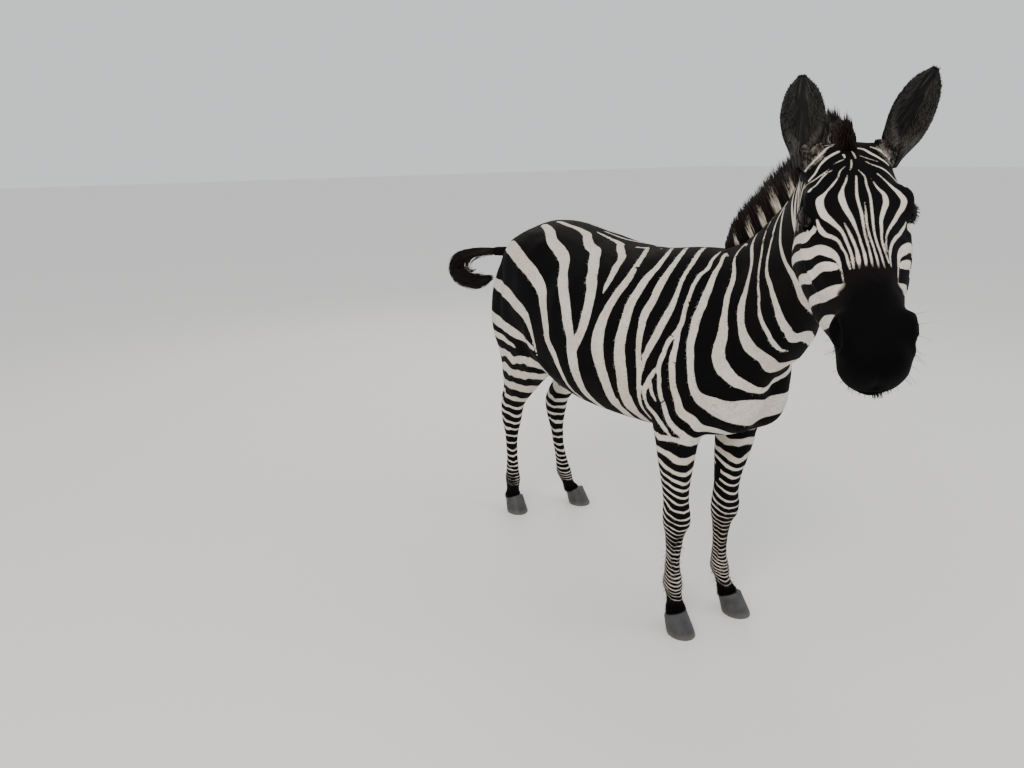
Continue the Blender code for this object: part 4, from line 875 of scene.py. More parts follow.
def lidCurve(flank, grow=0.0, lift=0.0):  # round the lid opening
    centre, out, along, above = eyeAxes(flank)
    radius, halfLength = eyeSettings["radius"], eyeSettings["halfLength"] + grow
    curve = []
    for turn in np.arange(lidSettings["places"]) * 2 * math.pi / lidSettings["places"]:
        a = math.cos(turn) * halfLength
        height = eyeSettings["upperHeight" if math.sin(turn) > 0 else "lowerHeight"] + grow
        b = math.copysign(height * max(1 - (a / halfLength) ** 2, 0), math.sin(turn))
        deep = math.sqrt(max(radius ** 2 - a * a - b * b, 0))
        curve.append(centre + unit(a * along + b * above + deep * out) * (radius + lift))
    return np.array(curve)


def eyeLids(name, flank):  # the thick rim with a fold over it and a slighter one under it
    grow, lift, thick, gain = lidSettings["rim"]
    turns = np.arange(lidSettings["places"]) * 2 * math.pi / lidSettings["places"]
    tubes = [tubeAlong(lidCurve(flank, grow, lift), thick + gain * np.maximum(np.sin(turns), 0), closed=True)]
    for grow, lift, first, last, thick in lidSettings["folds"]:
        count = last - first
        radii = [thick * math.sin(math.pi * (k + 0.5) / count) + 0.0003 for k in range(count)]
        tubes.append(tubeAlong(lidCurve(flank, grow, lift)[first:last], radii))
    points, faces = [], []
    for spots, links in tubes:
        faces += [tuple(len(points) + k for k in link) for link in links]
        points += list(spots + middle)
    mesh = addMesh(name, points, faces)
    mesh.shade_smooth()
    return addObject(name, mesh)


for side, flank in flanks.items():
    ball = eyeBall("eyeball_" + side, flank)
    ball.data.materials.append(eyeMaterial)
    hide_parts("eye_" + side)
    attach(ball, "root")
    lids = eyeLids("eyelids_" + side, flank)
    lids.data.materials.append(lidMaterial)
    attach(lids, "root")
report("eyes made")

earSettings = {
    "root": (0.012, 0.084, -0.028),
    "length": 0.176,
    "halfWidths": ((-0.12, 0.024), (0.12, 0.033), (0.28, 0.041), (0.45, 0.045), (0.62, 0.043), (0.78, 0.035),
                   (0.90, 0.023), (0.97, 0.013), (1.0, 0.006)),  # by share of the length
    "right": ((0.190, 0.280, 0.940), (-0.72, -0.66, 0.0)),  # the way the tip points, the way the cup opens
    "left": ((0.320, -0.210, 0.925), (-0.50, -0.85, 0.0)),
}


def earAxes(flank):
    tip, opening = (np.array(w) for w in earSettings["left" if flank > 0 else "right"])
    tip = unit(tip)
    opening = unit(opening - opening @ tip * tip)
    return fromHead(np.array(earSettings["root"]) * (1, flank, 1)), tip, opening, np.cross(opening, tip)


def earFacts(spots, normals, flank):  # how far inside, up, near the edge and across points of an ear are
    root, tip, opening, side = earAxes(flank)
    tall = (spots - root) @ tip / earSettings["length"]
    sideways = (spots - root) @ side / steps(earSettings["halfWidths"], tall)
    edge = np.maximum(np.abs(sideways), smoothstep(0.86, 1.0, tall))
    return {"inner": smoothstep(-0.2, 0.2, normals @ opening), "tall": tall, "edge": edge, "sideways": sideways}


# Ear hair: black rim; inside dark with grey hair that fans out from the root; white back, dark tip and foot.
earMaterial, tree = newMaterial("earHair")
read = {key: addNode(tree, "ShaderNodeAttribute", attribute_name=key).outputs["Fac"]
        for key in ("inner", "tall", "edge", "sideways")}
noises = []
for across, up, detail in ((9.0, 2.6, 4.0), (2.6, 3.4, 2.0)):  # cells over the ear's half width and its length
    wide = addNode(tree, "ShaderNodeMath", [read["sideways"], across], operation="MULTIPLY")
    tall = addNode(tree, "ShaderNodeMath", [read["tall"], up], operation="MULTIPLY")
    spread = addNode(tree, "ShaderNodeCombineXYZ", [wide, tall])
    noises.append(addNode(tree, "ShaderNodeTexNoise", [spread, 1.0, detail]))
streaks, patches = noises
edgeNoise = addNode(tree, "ShaderNodeMath", [streaks, 0.25, read["edge"]], operation="MULTIPLY_ADD")
tallNoise = addNode(tree, "ShaderNodeMapRange", [streaks, 0.0, 1.0, -0.05, 0.05])
tallNoise = addNode(tree, "ShaderNodeMath", [tallNoise, read["tall"]], operation="ADD")
shares = {key: addNode(tree, "ShaderNodeMapRange", [source, low, high]) for key, source, low, high in (
    ("hair", streaks, 0.40, 0.72), ("patch", patches, 0.44, 0.58), ("deep", edgeNoise, 0.30, 0.10),
    ("edge", read["edge"], 0.80, 0.90), ("tip", tallNoise, 0.60, 0.66), ("foot", tallNoise, 0.22, 0.16))}
insides = addNode(tree, "ShaderNodeMix", [shares["hair"], colour("#0e0d0e"), colour("#3f3e3e")], data_type="RGBA")
insides = addNode(tree, "ShaderNodeMix", [shares["patch"], colour("#070607"), insides], data_type="RGBA")
insides = addNode(tree, "ShaderNodeMix", [shares["deep"], insides, colour("#080708")], data_type="RGBA")
insides = addNode(tree, "ShaderNodeMix", [shares["edge"], insides, colour("#050505")], data_type="RGBA")
backs = addNode(tree, "ShaderNodeMix", [shares["tip"], colour("#c9c5bd"), colour("#100d0d")], data_type="RGBA")
backs = addNode(tree, "ShaderNodeMix", [shares["foot"], backs, colour("#1c1918")], data_type="RGBA")
backs = addNode(tree, "ShaderNodeMix", [shares["edge"], backs, colour("#080707")], data_type="RGBA")
base = addNode(tree, "ShaderNodeMix", [read["inner"], backs, insides], data_type="RGBA")
shade = addNode(tree, "ShaderNodeMapRange", [streaks, 0.25, 0.75, 0.75, 1.25])
grey = addNode(tree, "ShaderNodeCombineColor", [shade, shade, shade])
addNode(tree, "ShaderNodeOutputMaterial", [addNode(tree, "ShaderNodeBsdfPrincipled", {
    "Base Color": addNode(tree, "ShaderNodeMix", [1.0, base, grey], data_type="RGBA", blend_type="MULTIPLY"),
    "Normal": addNode(tree, "ShaderNodeBump", {"Strength": 0.5, "Distance": 0.0015, "Height": streaks}),
    "Roughness": 0.65, "Specular IOR Level": 0.15})])

ears = {}
for side, flank in flanks.items():
    ear = cadCopy("earShell_" + side, ["ear_" + side])
    shell = bmesh.new()
    shell.from_mesh(ear.data)
    bmesh.ops.join_triangles(shell, faces=shell.faces, angle_face_threshold=1.2, angle_shape_threshold=1.2)
    shell.to_mesh(ear.data)
    shell.free()
    applied(ear, "SUBSURF", {"levels": 2, "render_levels": 2})
    ear.data.shade_smooth()
    for key, values in earFacts(meshPoints(ear.data), meshNormals(ear.data), flank).items():
        setAttribute(ear.data, key, values)
    ear.data.materials.append(earMaterial)
    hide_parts("ear_" + side)
    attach(ear, "root")
    ears[flank] = ear
report("ears made")

hoofSettings = {
    "grain": 0.0022,
    "rounds": 12,
    "ringSpacing": 0.0052,
    "ringTilt": 0.45,  # rings follow the coronet down to the heels
    "ringDepth": 0.0004,
    "swell": 0.0006,
}
hornMaterial, tree = newMaterial("wornHoofHorn")  # grown horn: dull grey-brown, ringed, dusty at the foot
place = addNode(tree, "ShaderNodeTexCoord").outputs["Object"]
height = addNode(tree, "ShaderNodeSeparateXYZ", [place]).outputs["Z"]
grain = addNode(tree, "ShaderNodeMapping", {"Vector": place, "Scale": (340.0, 340.0, 20.0)})  # 3 mm wide, 50 mm long
fibres = addNode(tree, "ShaderNodeTexNoise", [grain, 1.0, 3.0])
patches = addNode(tree, "ShaderNodeTexNoise", [place, 26.0, 3.0])
patches = addNode(tree, "ShaderNodeMapRange", [patches, 0.35, 0.68])
base = addNode(tree, "ShaderNodeMix", [patches, colour("#2f3032"), colour("#4b4a49")], data_type="RGBA")
dull = addNode(tree, "ShaderNodeMath", [fibres, 0.6], operation="MULTIPLY")
base = addNode(tree, "ShaderNodeMix", [dull, base, colour("#222224")], data_type="RGBA")
dust = addNode(tree, "ShaderNodeMapRange", [height, 0.020, 0.002, 0.0, 0.5])
addNode(tree, "ShaderNodeOutputMaterial", [addNode(tree, "ShaderNodeBsdfPrincipled", {
    "Base Color": addNode(tree, "ShaderNodeMix", [dust, base, colour("#6b655c")], data_type="RGBA"),
    "Normal": addNode(tree, "ShaderNodeBump", {"Strength": 0.35, "Distance": 0.0008, "Height": fibres}),
    "Roughness": 0.55})])
for node in ("forehoof_left", "forehoof_right", "hindhoof_left", "hindhoof_right"):
    hoof = applied(cadCopy(node + "_horn", [node]), "REMESH", {"mode": "VOXEL", "voxel_size": hoofSettings["grain"]})
    spots = meshPoints(hoof.data)
    share = 0.5 * smoothstep(0.001, 0.010, spots[:, 2])  # the sole's edge stays sharp
    spots = rounded(spots, meshEdges(hoof.data), share, hoofSettings["rounds"])
    setPoints(hoof.data, spots)
    normals = meshNormals(hoof.data)
    slope = spots[:, 2] + hoofSettings["ringTilt"] * (spots[:, 1] - spots[:, 1].mean())
    rings = np.cos(slope * 2 * math.pi / hoofSettings["ringSpacing"]) * hoofSettings["ringDepth"]
    wall = smoothstep(0.004, 0.012, spots[:, 2]) * smoothstep(0.85, 0.6, np.abs(normals[:, 2]))
    spots = spots + normals * (rings * wall)[:, None]
    spots = spots + normals * (wave(spots, 0.05, 11) * hoofSettings["swell"] * wall)[:, None]
    spots[:, 2] = np.maximum(spots[:, 2], 0.0)
    setPoints(hoof.data, spots)
    hoof.data.shade_smooth()
    hoof.data.materials.append(hornMaterial)
    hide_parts(node)
    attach(hoof, "root")
report("hooves made")


def lockShape(name, levels, bend):
    # A three-sided lock of unit length along Z, width along X and thickness along Y, bent back to -Y.
    # A level is (height, share of the width).
    points = [(share / 2 * math.cos(turn) / 0.866, share / 2 * math.sin(turn) - bend * height ** 2, height)
              for height, share in levels for turn in np.radians((90, 210, 330))]
    top = len(points)
    points.append((0, -bend * (levels[-1][0] + 0.12) ** 2, 1.0))
    links = [(3 * k + j, 3 * k + (j + 1) % 3) for k in range(len(levels)) for j in range(3)]
    mesh = addMesh(name, points, [(2, 1, 0)] + [(a, b, b + 3, a + 3) for a, b in links[:-3]]
                   + [(a, b, top) for a, b in links[-3:]])
    setAttribute(mesh, "alongLock", [point[2] for point in points])
    setAttribute(mesh, "acrossLock", [point[0] for point in points])
    mesh.shade_smooth()
    return addObject(name, mesh)


def lockTree():  # puts a lock on every root, aimed and sized by the root's attributes
    tree = bpy.data.node_groups.new("locksOnRoots", "GeometryNodeTree")
    for name, kind, start in (("Roots", "Geometry", None), ("Lock", "Object", None), ("Hair", "Material", None),
                              ("Shortest", "Float", 0.8), ("Seed", "Int", 1)):
        socket = tree.interface.new_socket(name, in_out="INPUT", socket_type="NodeSocket" + kind)
        if start is not None:
            socket.default_value = start
    tree.interface.new_socket("Locks", in_out="OUTPUT", socket_type="NodeSocketGeometry")
    given = addNode(tree, "NodeGroupInput").outputs
    read = {name: addNode(tree, "GeometryNodeInputNamedAttribute", {"Name": name}, data_type=kind) for name, kind in
            (("aim", "FLOAT_VECTOR"), ("rise", "FLOAT_VECTOR"), ("wide", "FLOAT"), ("thick", "FLOAT"),
             ("long", "FLOAT"))}
    shape = addNode(tree, "GeometryNodeObjectInfo", {"Object": given["Lock"]})
    chance = addNode(tree, "FunctionNodeRandomValue", {2: given["Shortest"], 3: 1.0, "Seed": given["Seed"]},
                     data_type="FLOAT")
    turned = addNode(tree, "FunctionNodeAlignRotationToVector", {"Vector": read["aim"]}, axis="Z")
    turned = addNode(tree, "FunctionNodeAlignRotationToVector", {"Rotation": turned, "Vector": read["rise"]},
                     axis="Y", pivot_axis="Z")
    long = addNode(tree, "ShaderNodeMath", [read["long"], chance], operation="MULTIPLY")
    size = addNode(tree, "ShaderNodeCombineXYZ", [read["wide"], read["thick"], long])
    placed = addNode(tree, "GeometryNodeInstanceOnPoints", {
        "Points": given["Roots"], "Instance": shape.outputs["Geometry"], "Rotation": turned, "Scale": size})
    real = addNode(tree, "GeometryNodeRealizeInstances", {"Geometry": placed})
    painted = addNode(tree, "GeometryNodeSetMaterial", {"Geometry": real, "Material": given["Hair"]})
    addNode(tree, "NodeGroupOutput", {"Locks": painted})
    return tree


locksOnRoots = lockTree()
socketIds = {item.name: item.identifier for item in locksOnRoots.interface.items_tree if item.in_out == "INPUT"}

# The coat's map: each lock is a small patch at its root's place on an unwrap of the plain flesh.
mapSettings = {"patch": 0.003, "edge": 0.001}
unwrapped = cadCopy("unwrapped", fleshNodes)
bpy.context.view_layer.objects.active = unwrapped
unwrapped.select_set(True)
bpy.ops.object.mode_set(mode="EDIT")
bpy.ops.mesh.select_all(action="SELECT")
bpy.ops.uv.smart_project(angle_limit=math.radians(66), island_margin=0.004)
bpy.ops.object.mode_set(mode="OBJECT")
unwrapTree, unwrapPoints, unwrapCorners = surfaceTree(unwrapped.data)
unwrapLoops = readNumbers(unwrapped.data.loop_triangles, "loops", 3, np.int64)
unwrapPlaces = readNumbers(unwrapped.data.uv_layers.active.data, "uv", 2)[unwrapLoops]
bpy.data.objects.remove(unwrapped)
report("flesh unwrapped")


def rootMap(roots):
    found = [unwrapTree.find_nearest(Vector(root)) for root in roots]
    faces = np.array([f[2] for f in found])
    spots = np.array([f[0][:] for f in found])
    a, b, c = (unwrapPoints[unwrapCorners[faces, k]] for k in range(3))
    normal = np.cross(b - a, c - a)
    area = np.maximum((normal * normal).sum(1), 1e-18)
    u = (np.cross(b - spots, c - spots) * normal).sum(1) / area
    v = (np.cross(c - spots, a - spots) * normal).sum(1) / area
    share = np.clip(np.stack((u, v, 1 - u - v), 1), 0, 1)
    share /= share.sum(1, keepdims=True)
    return (unwrapPlaces[faces] * share[:, :, None]).sum(1)


def addMap(mesh, places):
    places = np.clip(places, mapSettings["edge"], 1 - mapSettings["edge"])
    places = places[readNumbers(mesh.loops, "vertex_index", 1, np.int64)]
    mesh.uv_layers.new(name="OFBake").data.foreach_set("uv", places.astype(np.float32).ravel())


def growLocks(name, roots, aims, rises, sizes, values, material, shape, shortest=0.8, seed=1):
    # Sizes are width, thickness and length, each one number or one for each root.
    places = rootMap(roots)
    numbers = dict(zip(("wide", "thick", "long"), sizes), rootU=places[:, 0], rootV=places[:, 1])
    mesh = addMesh(name + "Roots", roots + middle, [])
    setAttribute(mesh, "aim", aims, "FLOAT_VECTOR")
    setAttribute(mesh, "rise", np.broadcast_to(rises, roots.shape), "FLOAT_VECTOR")
    for key, value in {**numbers, **values}.items():
        setAttribute(mesh, key, np.broadcast_to(value, len(roots)))
    made = addObject(name, mesh)
    modifier = made.modifiers.new("locks", "NODES")
    modifier.node_group = locksOnRoots
    for key, value in {"Lock": shape, "Hair": material, "Shortest": shortest, "Seed": seed}.items():
        modifier[socketIds[key]] = value
    made.update_tag()
    grown = baked(made).data
    grown.name = name
    u, v, across, along = (readNumbers(grown.attributes[key].data, "value", 1)
                           for key in ("rootU", "rootV", "acrossLock", "alongLock"))
    patch = mapSettings["patch"]
    addMap(grown, np.stack((u + across * patch, v + (along - 0.5) * patch), 1))
    for key in ("aim", "rise", "acrossLock", *numbers):
        if key in grown.attributes:
            grown.attributes.remove(grown.attributes[key])
    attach(made, "root")
    report(f"{name}: {len(roots)} locks, {len(grown.polygons)} faces")
    return made


def triangleFacts(points, corners):  # middles, normals and areas
    a, b, c = (points[corners[:, k]] for k in range(3))
    cross = np.cross(b - a, c - a)
    return (a + b + c) / 3, unit(cross), np.linalg.norm(cross, axis=1) / 2


def scatter(rng, weight, count):  # triangles drawn by weight and a place in each, as its corners' shares
    picked = rng.choice(len(weight), count, p=weight / weight.sum())
    r, s = np.sqrt(rng.random(count)), rng.random(count)
    return picked, np.stack((1 - r, r * (1 - s), r * s), 1)


def mixed(values, corners, share):
    return np.einsum("ij,ij...->i...", share, values[corners])


def hairFlow(spots, normals):  # back along the trunk, down the neck and legs, down the face
    lower = smoothstep(0.80, 0.66, spots[:, 2])[:, None]
    head = headShareAt(spots)[:, None]
    neck = (smoothstep(-0.45, -0.65, spots[:, 1]) * smoothstep(0.85, 1.0, spots[:, 2]))[:, None]
    flow = np.array((0.0, 0.9, -0.42)) * (1 - lower) + np.array((0.0, 0.15, -1.0)) * lower
    flow = flow * (1 - neck) + unit(np.array((0.28, 0.62, -0.72))) * neck
    flow = flow * (1 - head) + faceAxis * head
    return unit(flow - (flow * normals).sum(1, keepdims=True) * normals)


coatSettings = {  # how many tufts a region has, their length, width and lift
    "trunk": (44000, 0.010, 0.0034, 0.10),
    "neck": (44000, 0.009, 0.0030, 0.10),
    "legs": (46000, 0.0065, 0.0022, 0.16),
    "face": (48000, 0.0045, 0.0014, 0.12),
    "cheeks": (44000, 0.006, 0.0018, 0.12),
}
coatSunk = 0.0008  # how deep the roots are
coatHair = coatMaterial("coatTufts", False)
tuftShape = lockShape("tuftShape", ((0.0, 1.0),), 0.0)
spots, _, areas = triangleFacts(skinPoints, skinCorners)
places = toHead(spots)
isHead = headShareAt(spots) > 0.4
isFace = isHead & ((places[:, 2] > -0.085) | (places[:, 0] > 0.36))
isLeg = spots[:, 2] < 0.68
isNeck = ~isHead & ~isLeg & (spots[:, 1] < -0.33)
regions = {"trunk": ~isHead & ~isLeg & ~isNeck, "neck": isNeck, "legs": isLeg, "face": isFace,
           "cheeks": isHead & ~isFace}
eyeFree = np.all([np.linalg.norm(spots - eyeAxes(flank)[0], axis=1) >= eyeSettings["bare"]
                  for flank in flanks.values()], 0)
rng = np.random.default_rng(17)
for seed, (region, (count, long, wide, lift)) in enumerate(coatSettings.items(), 3):
    weight = areas * regions[region] * eyeFree
    if region == "legs":
        weight = weight * (1 + 1.5 * smoothstep(0.30, 0.10, spots[:, 2]))
    picked, share = scatter(rng, weight, count)
    corners = skinCorners[picked]
    roots = mixed(skinPoints, corners, share)
    normals = unit(mixed(skinNormals, corners, share))
    flow = hairFlow(roots, normals)
    flow = unit(flow + np.cross(normals, flow) * rng.normal(0, 0.16, (count, 1)))
    coronet = smoothstep(0.105, 0.080, roots[:, 2])  # hair is long over the coronet and stands out there
    aims = unit(flow + normals * (lift * rng.uniform(0.5, 1.5, (count, 1)) + 0.30 * coronet[:, None]))
    size = rng.uniform(0.75, 1.25, count)
    coat = growLocks("coat_" + region, roots - normals * coatSunk, aims, normals,
                     (wide * size, wide * 0.45 * size, long * size * (1 + 1.6 * coronet)),
                     {key: mixed(values, corners, share) for key, values in paints.items()},
                     coatHair, tuftShape, 0.8, seed)

earHairSettings = {
    "inside": (2600, 0.016),  # count, length
    "rim": (1500, 0.006),
    "root": (2600, 0.0075),
    "rootReach": 0.040,
    "wide": 0.0012,
    "thick": 0.0006,
    "rootWide": 0.0022,
    "rootThick": 0.0012,
    "sunk": 0.001,
}
earHair, tree = newMaterial("earLocks")  # soft long hair, dark to pale grey
tone = addNode(tree, "ShaderNodeAttribute", attribute_name="tone").outputs["Fac"]
addNode(tree, "ShaderNodeOutputMaterial", [addNode(tree, "ShaderNodeBsdfPrincipled", {
    "Base Color": addNode(tree, "ShaderNodeMix", [tone, colour("#080708"), colour("#a19d96")], data_type="RGBA"),
    "Roughness": 0.6, "Specular IOR Level": 0.2})])
rng = np.random.default_rng(41)
for side, flank in flanks.items():
    root, tip, opening, across = earAxes(flank)
    _, earPoints, earCorners = surfaceTree(ears[flank].data)
    earSpots, earNormals, earAreas = triangleFacts(earPoints, earCorners)
    facts = earFacts(earSpots, earNormals, flank)
    tall, edge = facts["tall"], facts["edge"]
    weights = {"inside": earAreas * (facts["inner"] > 0.6) * (tall > 0.02) * (tall < 0.86)
               * smoothstep(0.25, 0.6, edge) * (1.6 - tall),
               "rim": earAreas * smoothstep(0.80, 0.95, edge) * (tall > 0.05)}
    parts = []
    for part, weight in weights.items():
        count, long = earHairSettings[part]
        picked, share = scatter(rng, weight, count)
        roots = mixed(earPoints, earCorners[picked], share)
        here = earFacts(roots, earNormals[picked], flank)
        turned = here["sideways"][:, None]
        if part == "inside":
            aims = tip * 0.8 - across * turned * 0.55 + opening * rng.uniform(0.10, 0.35, (count, 1))
            tone = rng.uniform(0, 0.20, count) + 0.22 * smoothstep(0.32, 0.10, here["tall"]) * rng.random(count)
        else:
            aims = tip * 0.8 + across * turned * 0.5 + opening * 0.1
            tone = np.zeros(count)
        aims = unit(aims + rng.normal(0, 0.12, (count, 3)))
        parts.append((roots, aims, long * rng.uniform(0.6, 1.2, count), tone))
    roots, aims, long, tone = (np.concatenate(columns) for columns in zip(*parts))
    hair = growLocks("earLocks_" + side, roots - aims * earHairSettings["sunk"], aims, opening,
                     (earHairSettings["wide"], earHairSettings["thick"], long), {"tone": tone}, earHair, tuftShape,
                     0.8, 51 + flank)
    # Longer coat round the ear's root.
    count, long = earHairSettings["root"]
    near = np.linalg.norm(spots - root - tip * 0.012, axis=1) < earHairSettings["rootReach"]
    picked, share = scatter(rng, areas * near, count)
    corners = skinCorners[picked]
    roots = mixed(skinPoints, corners, share)
    normals = unit(mixed(skinNormals, corners, share))
    aims = unit(normals * 0.22 + tip * 0.80 + rng.normal(0, 0.07, (count, 3)))
    hair = growLocks("coat_earRoot_" + side, roots, aims, normals,
                     (earHairSettings["rootWide"], earHairSettings["rootThick"],
                      long * rng.uniform(0.6, 1.1, count)),
                     {key: mixed(values, corners, share) for key, values in paints.items()},
                     coatHair, tuftShape, 0.8, 61 + flank)

feelerSettings = {  # count, length, width
    "lashes": (70, 0.010, 0.0008),
    "whiskers": (55, 0.030, 0.0006),
    "chin": (420, 0.014, 0.0010),
}
feelerHair, tree = newMaterial("blackFeelerHair")  # stiff single hairs
addNode(tree, "ShaderNodeOutputMaterial", [addNode(tree, "ShaderNodeBsdfPrincipled", {
    "Base Color": colour("#060505"), "Roughness": 0.5, "Specular IOR Level": 0.2})])
hairShape = lockShape("hairShape", ((0.0, 1.0), (0.4, 0.8), (0.75, 0.5)), 0.12)
for side, flank in flanks.items():
    centre, out, along, above = eyeAxes(flank)
    rim = lidCurve(flank, 0.0010, 0.0022)
    count, long, wide = feelerSettings["lashes"]
    turns = rng.uniform(2.5, 30.0, count)  # of the lid curve's 64 places
    low = turns.astype(int)
    roots = rim[low] + (rim[low + 1] - rim[low]) * (turns - low)[:, None]
    fan = np.cos(turns / 64 * 2 * math.pi)[:, None]
    aims = unit(out * 0.80 + along * (fan * 0.35 + 0.25) - above * rng.uniform(0.25, 0.75, (count, 1))
                + rng.normal(0, 0.06, (count, 3)))
    lashes = growLocks("lashes_" + side, roots, aims, above, (wide, wide, long * rng.uniform(0.6, 1.15, count)), {},
                       feelerHair, hairShape, 0.85, 71 + flank)
    muzzle = (places[:, 0] > 0.400) & (places[:, 1] * flank > 0.004) & (places[:, 2] < -0.020)
    for name, chosen in (("whiskers", muzzle), ("chin", muzzle & (places[:, 2] < -0.118))):
        count, long, wide = feelerSettings[name]
        weight = areas * chosen
        picked = rng.choice(len(weight), count, p=weight / weight.sum())
        normals = unit(skinNormals[skinCorners[picked]].sum(1))
        aims = unit(normals * 0.9 + faceAxis * 0.30 - faceUp * 0.25 + rng.normal(0, 0.20, (count, 3)))
        hair = growLocks(name + "_" + side, spots[picked], aims, faceUp,
                         (wide, wide, long * rng.uniform(0.4, 1.1, count)), {}, feelerHair, hairShape, 0.85,
                         81 + flank)

# Mane: stiff upright locks from the crest to the mane's outline, in bands that carry on from the neck.
maneSettings = {
    "count": 9000,
    "heights": ((0.00, 0.058), (0.05, 0.084), (0.14, 0.100), (0.40, 0.142), (0.70, 0.144), (0.88, 0.116),
                (1.00, 0.036)),  # by share of the crest's length
    "halfThickness": ((0.00, 0.018), (0.05, 0.022), (0.14, 0.024), (0.40, 0.022), (0.70, 0.022), (0.88, 0.018),
                      (1.00, 0.012)),
    "bands": ((-0.503, 0.006), (-0.564, 0.009), (-0.621, 0.011), (-0.687, 0.014), (-0.757, 0.015),
              (-0.835, 0.011), (-0.900, 0.009), (-0.960, 0.008)),  # y and half width
    "deepest": 0.02,
    "wide": 0.0055,
    "thick": 0.0036,
    "sunk": 0.006,
    "over": 0.03,  # how far past its height a lock may reach
    "neckPath": ((0.000, -0.395, 1.020), (-0.030, -0.610, 1.130), (-0.105, -0.780, 1.275),
                 (-0.195, -0.905, 1.395), (-0.285, -1.005, 1.490)),
    "neckDepths": ((0.00, 0.235), (0.25, 0.200), (0.50, 0.165), (0.75, 0.132), (0.90, 0.112), (1.00, 0.085)),
}


def crestLine():  # places on the crest and their upward ways, from the forelock to the withers
    line = [fromHead((0.026, -0.004, 0.0)), fromHead((-0.035, 0.0, -0.012))]
    ups = [faceUp * 0.55 + np.array((0, 0, 0.65)) - faceLeft * 0.22,
           faceUp * 0.35 + np.array((0, 0, 0.8)) - faceLeft * 0.10]
    for share in (0.88, 0.70, 0.52, 0.36, 0.22):
        before, here, after = curveAt(maneSettings["neckPath"], [share - 0.02, share, share + 0.02])
        ahead = unit(after - before)
        ups.append(np.cross(unit(np.cross(ahead, (0.0, 0.0, 1.0))), ahead))
        line.append(here + ups[-1] * steps(maneSettings["neckDepths"], share))
    line.append(np.array((0.0, -0.440, 1.272)))
    ups.append(np.array((0, -0.3, 1.0)))
    return np.array(line), unit(np.array(ups))


crest, crestUps = crestLine()
outline = cadCopy("maneOutline", ["mane"])
outlineTree, _, _ = surfaceTree(outline.data)
bpy.data.objects.remove(outline)
rng = np.random.default_rng(23)
count = maneSettings["count"]
shares = np.sort(rng.uniform(0.0, 0.985, count))
roots = curveAt(crest, shares)
ahead = unit(curveAt(crest, np.minimum(shares + 0.01, 1)) - curveAt(crest, np.maximum(shares - 0.01, 0)))
knots = np.arange(len(crest))
ups = np.stack([np.interp(shares * knots[-1], knots, column) for column in crestUps.T], 1)
ups = unit(ups - (ups * ahead).sum(1, keepdims=True) * ahead)
sides = np.cross(ahead, ups)
across = rng.uniform(-1, 1, count)
roots = roots + sides * (across * steps(maneSettings["halfThickness"], shares) * 0.8)[:, None]
lean = 0.10 * smoothstep(0.10, 0.25, shares) + rng.normal(0, 0.10, count) + 0.10 * wave(roots, 0.03, 31)
aims = unit(ups + sides * (across * 0.10)[:, None] + ahead * lean[:, None] + sides * rng.normal(0, 0.05, (count, 1)))
lengths = np.zeros(count)
for k in range(count):  # a lock starts on the skin and ends just inside the mane's outline
    roots[k] = np.array(skinTree.find_nearest(Vector(roots[k]))[0]) - ups[k] * maneSettings["sunk"]
    hit = outlineTree.ray_cast(Vector(roots[k] + aims[k] * 0.5), Vector(-aims[k]), 0.5)[0]
    if hit is not None:
        lengths[k] = (np.array(hit) - roots[k]) @ aims[k]
tall = steps(maneSettings["heights"], shares)
lengths = np.minimum(np.where(lengths > 0.012, lengths, tall * 0.8), tall + maneSettings["over"])
peak = smoothstep(0.14, 0.08, shares)  # the forelock rises to a soft point
lengths *= (1 - rng.uniform(0, 0.16 + 0.34 * peak, count)) * (1 - 0.10 * across ** 2)
lengths *= (1 - 0.42 * smoothstep(0.045, 0.11, shares) * smoothstep(0.20, 0.15, shares)
            - 0.25 * smoothstep(0.03, 0.0, shares))
lengths *= 1 - 0.30 * peak * np.abs(across) - 0.05 * (1 + wave(roots, 0.022, 32))
bands, deepest = np.array(maneSettings["bands"]), maneSettings["deepest"]
reach = (bands[:, 1] - np.abs(roots[:, 1, None] - bands[:, 0])).max(1)
bandField = np.where(shares < 0.12, -deepest, np.clip(reach, -deepest, deepest))

maneHair, tree = newMaterial("stiffManeHair")  # coarse upright hair, black and cream, brown-black at the tips
read = {key: addNode(tree, "ShaderNodeAttribute", attribute_name=key).outputs["Fac"]
        for key in ("stripe", "alongLock")}
place = addNode(tree, "ShaderNodeTexCoord").outputs["Object"]
noise = addNode(tree, "ShaderNodeTexNoise", [place, 130.0, 2.0])  # 8 mm
pale, dark, ends = (addNode(tree, "ShaderNodeMix", [noise, colour(a), colour(b)], data_type="RGBA")
                    for a, b in (("#b9ad9c", "#e2d9cb"), ("#0a0808", "#1c1512"), ("#0c0808", "#241816")))
white = addNode(tree, "ShaderNodeMapRange", [read["stripe"], -0.002, 0.002])
base = addNode(tree, "ShaderNodeMix", [white, dark, pale], data_type="RGBA")
tipAt = addNode(tree, "ShaderNodeMapRange", [noise, 0.0, 1.0, -0.25, 0.25])
tipAt = addNode(tree, "ShaderNodeMath", [tipAt, read["alongLock"]], operation="ADD")
tipAt = addNode(tree, "ShaderNodeMapRange", [tipAt, 0.40, 0.76])
addNode(tree, "ShaderNodeOutputMaterial", [addNode(tree, "ShaderNodeBsdfPrincipled", {
    "Base Color": addNode(tree, "ShaderNodeMix", [tipAt, base, ends], data_type="RGBA"),
    "Roughness": 0.6, "Specular IOR Level": 0.08})])
stiffLock = lockShape("stiffLock", ((0.0, 1.0), (0.35, 0.95), (0.72, 0.65)), 0.0)
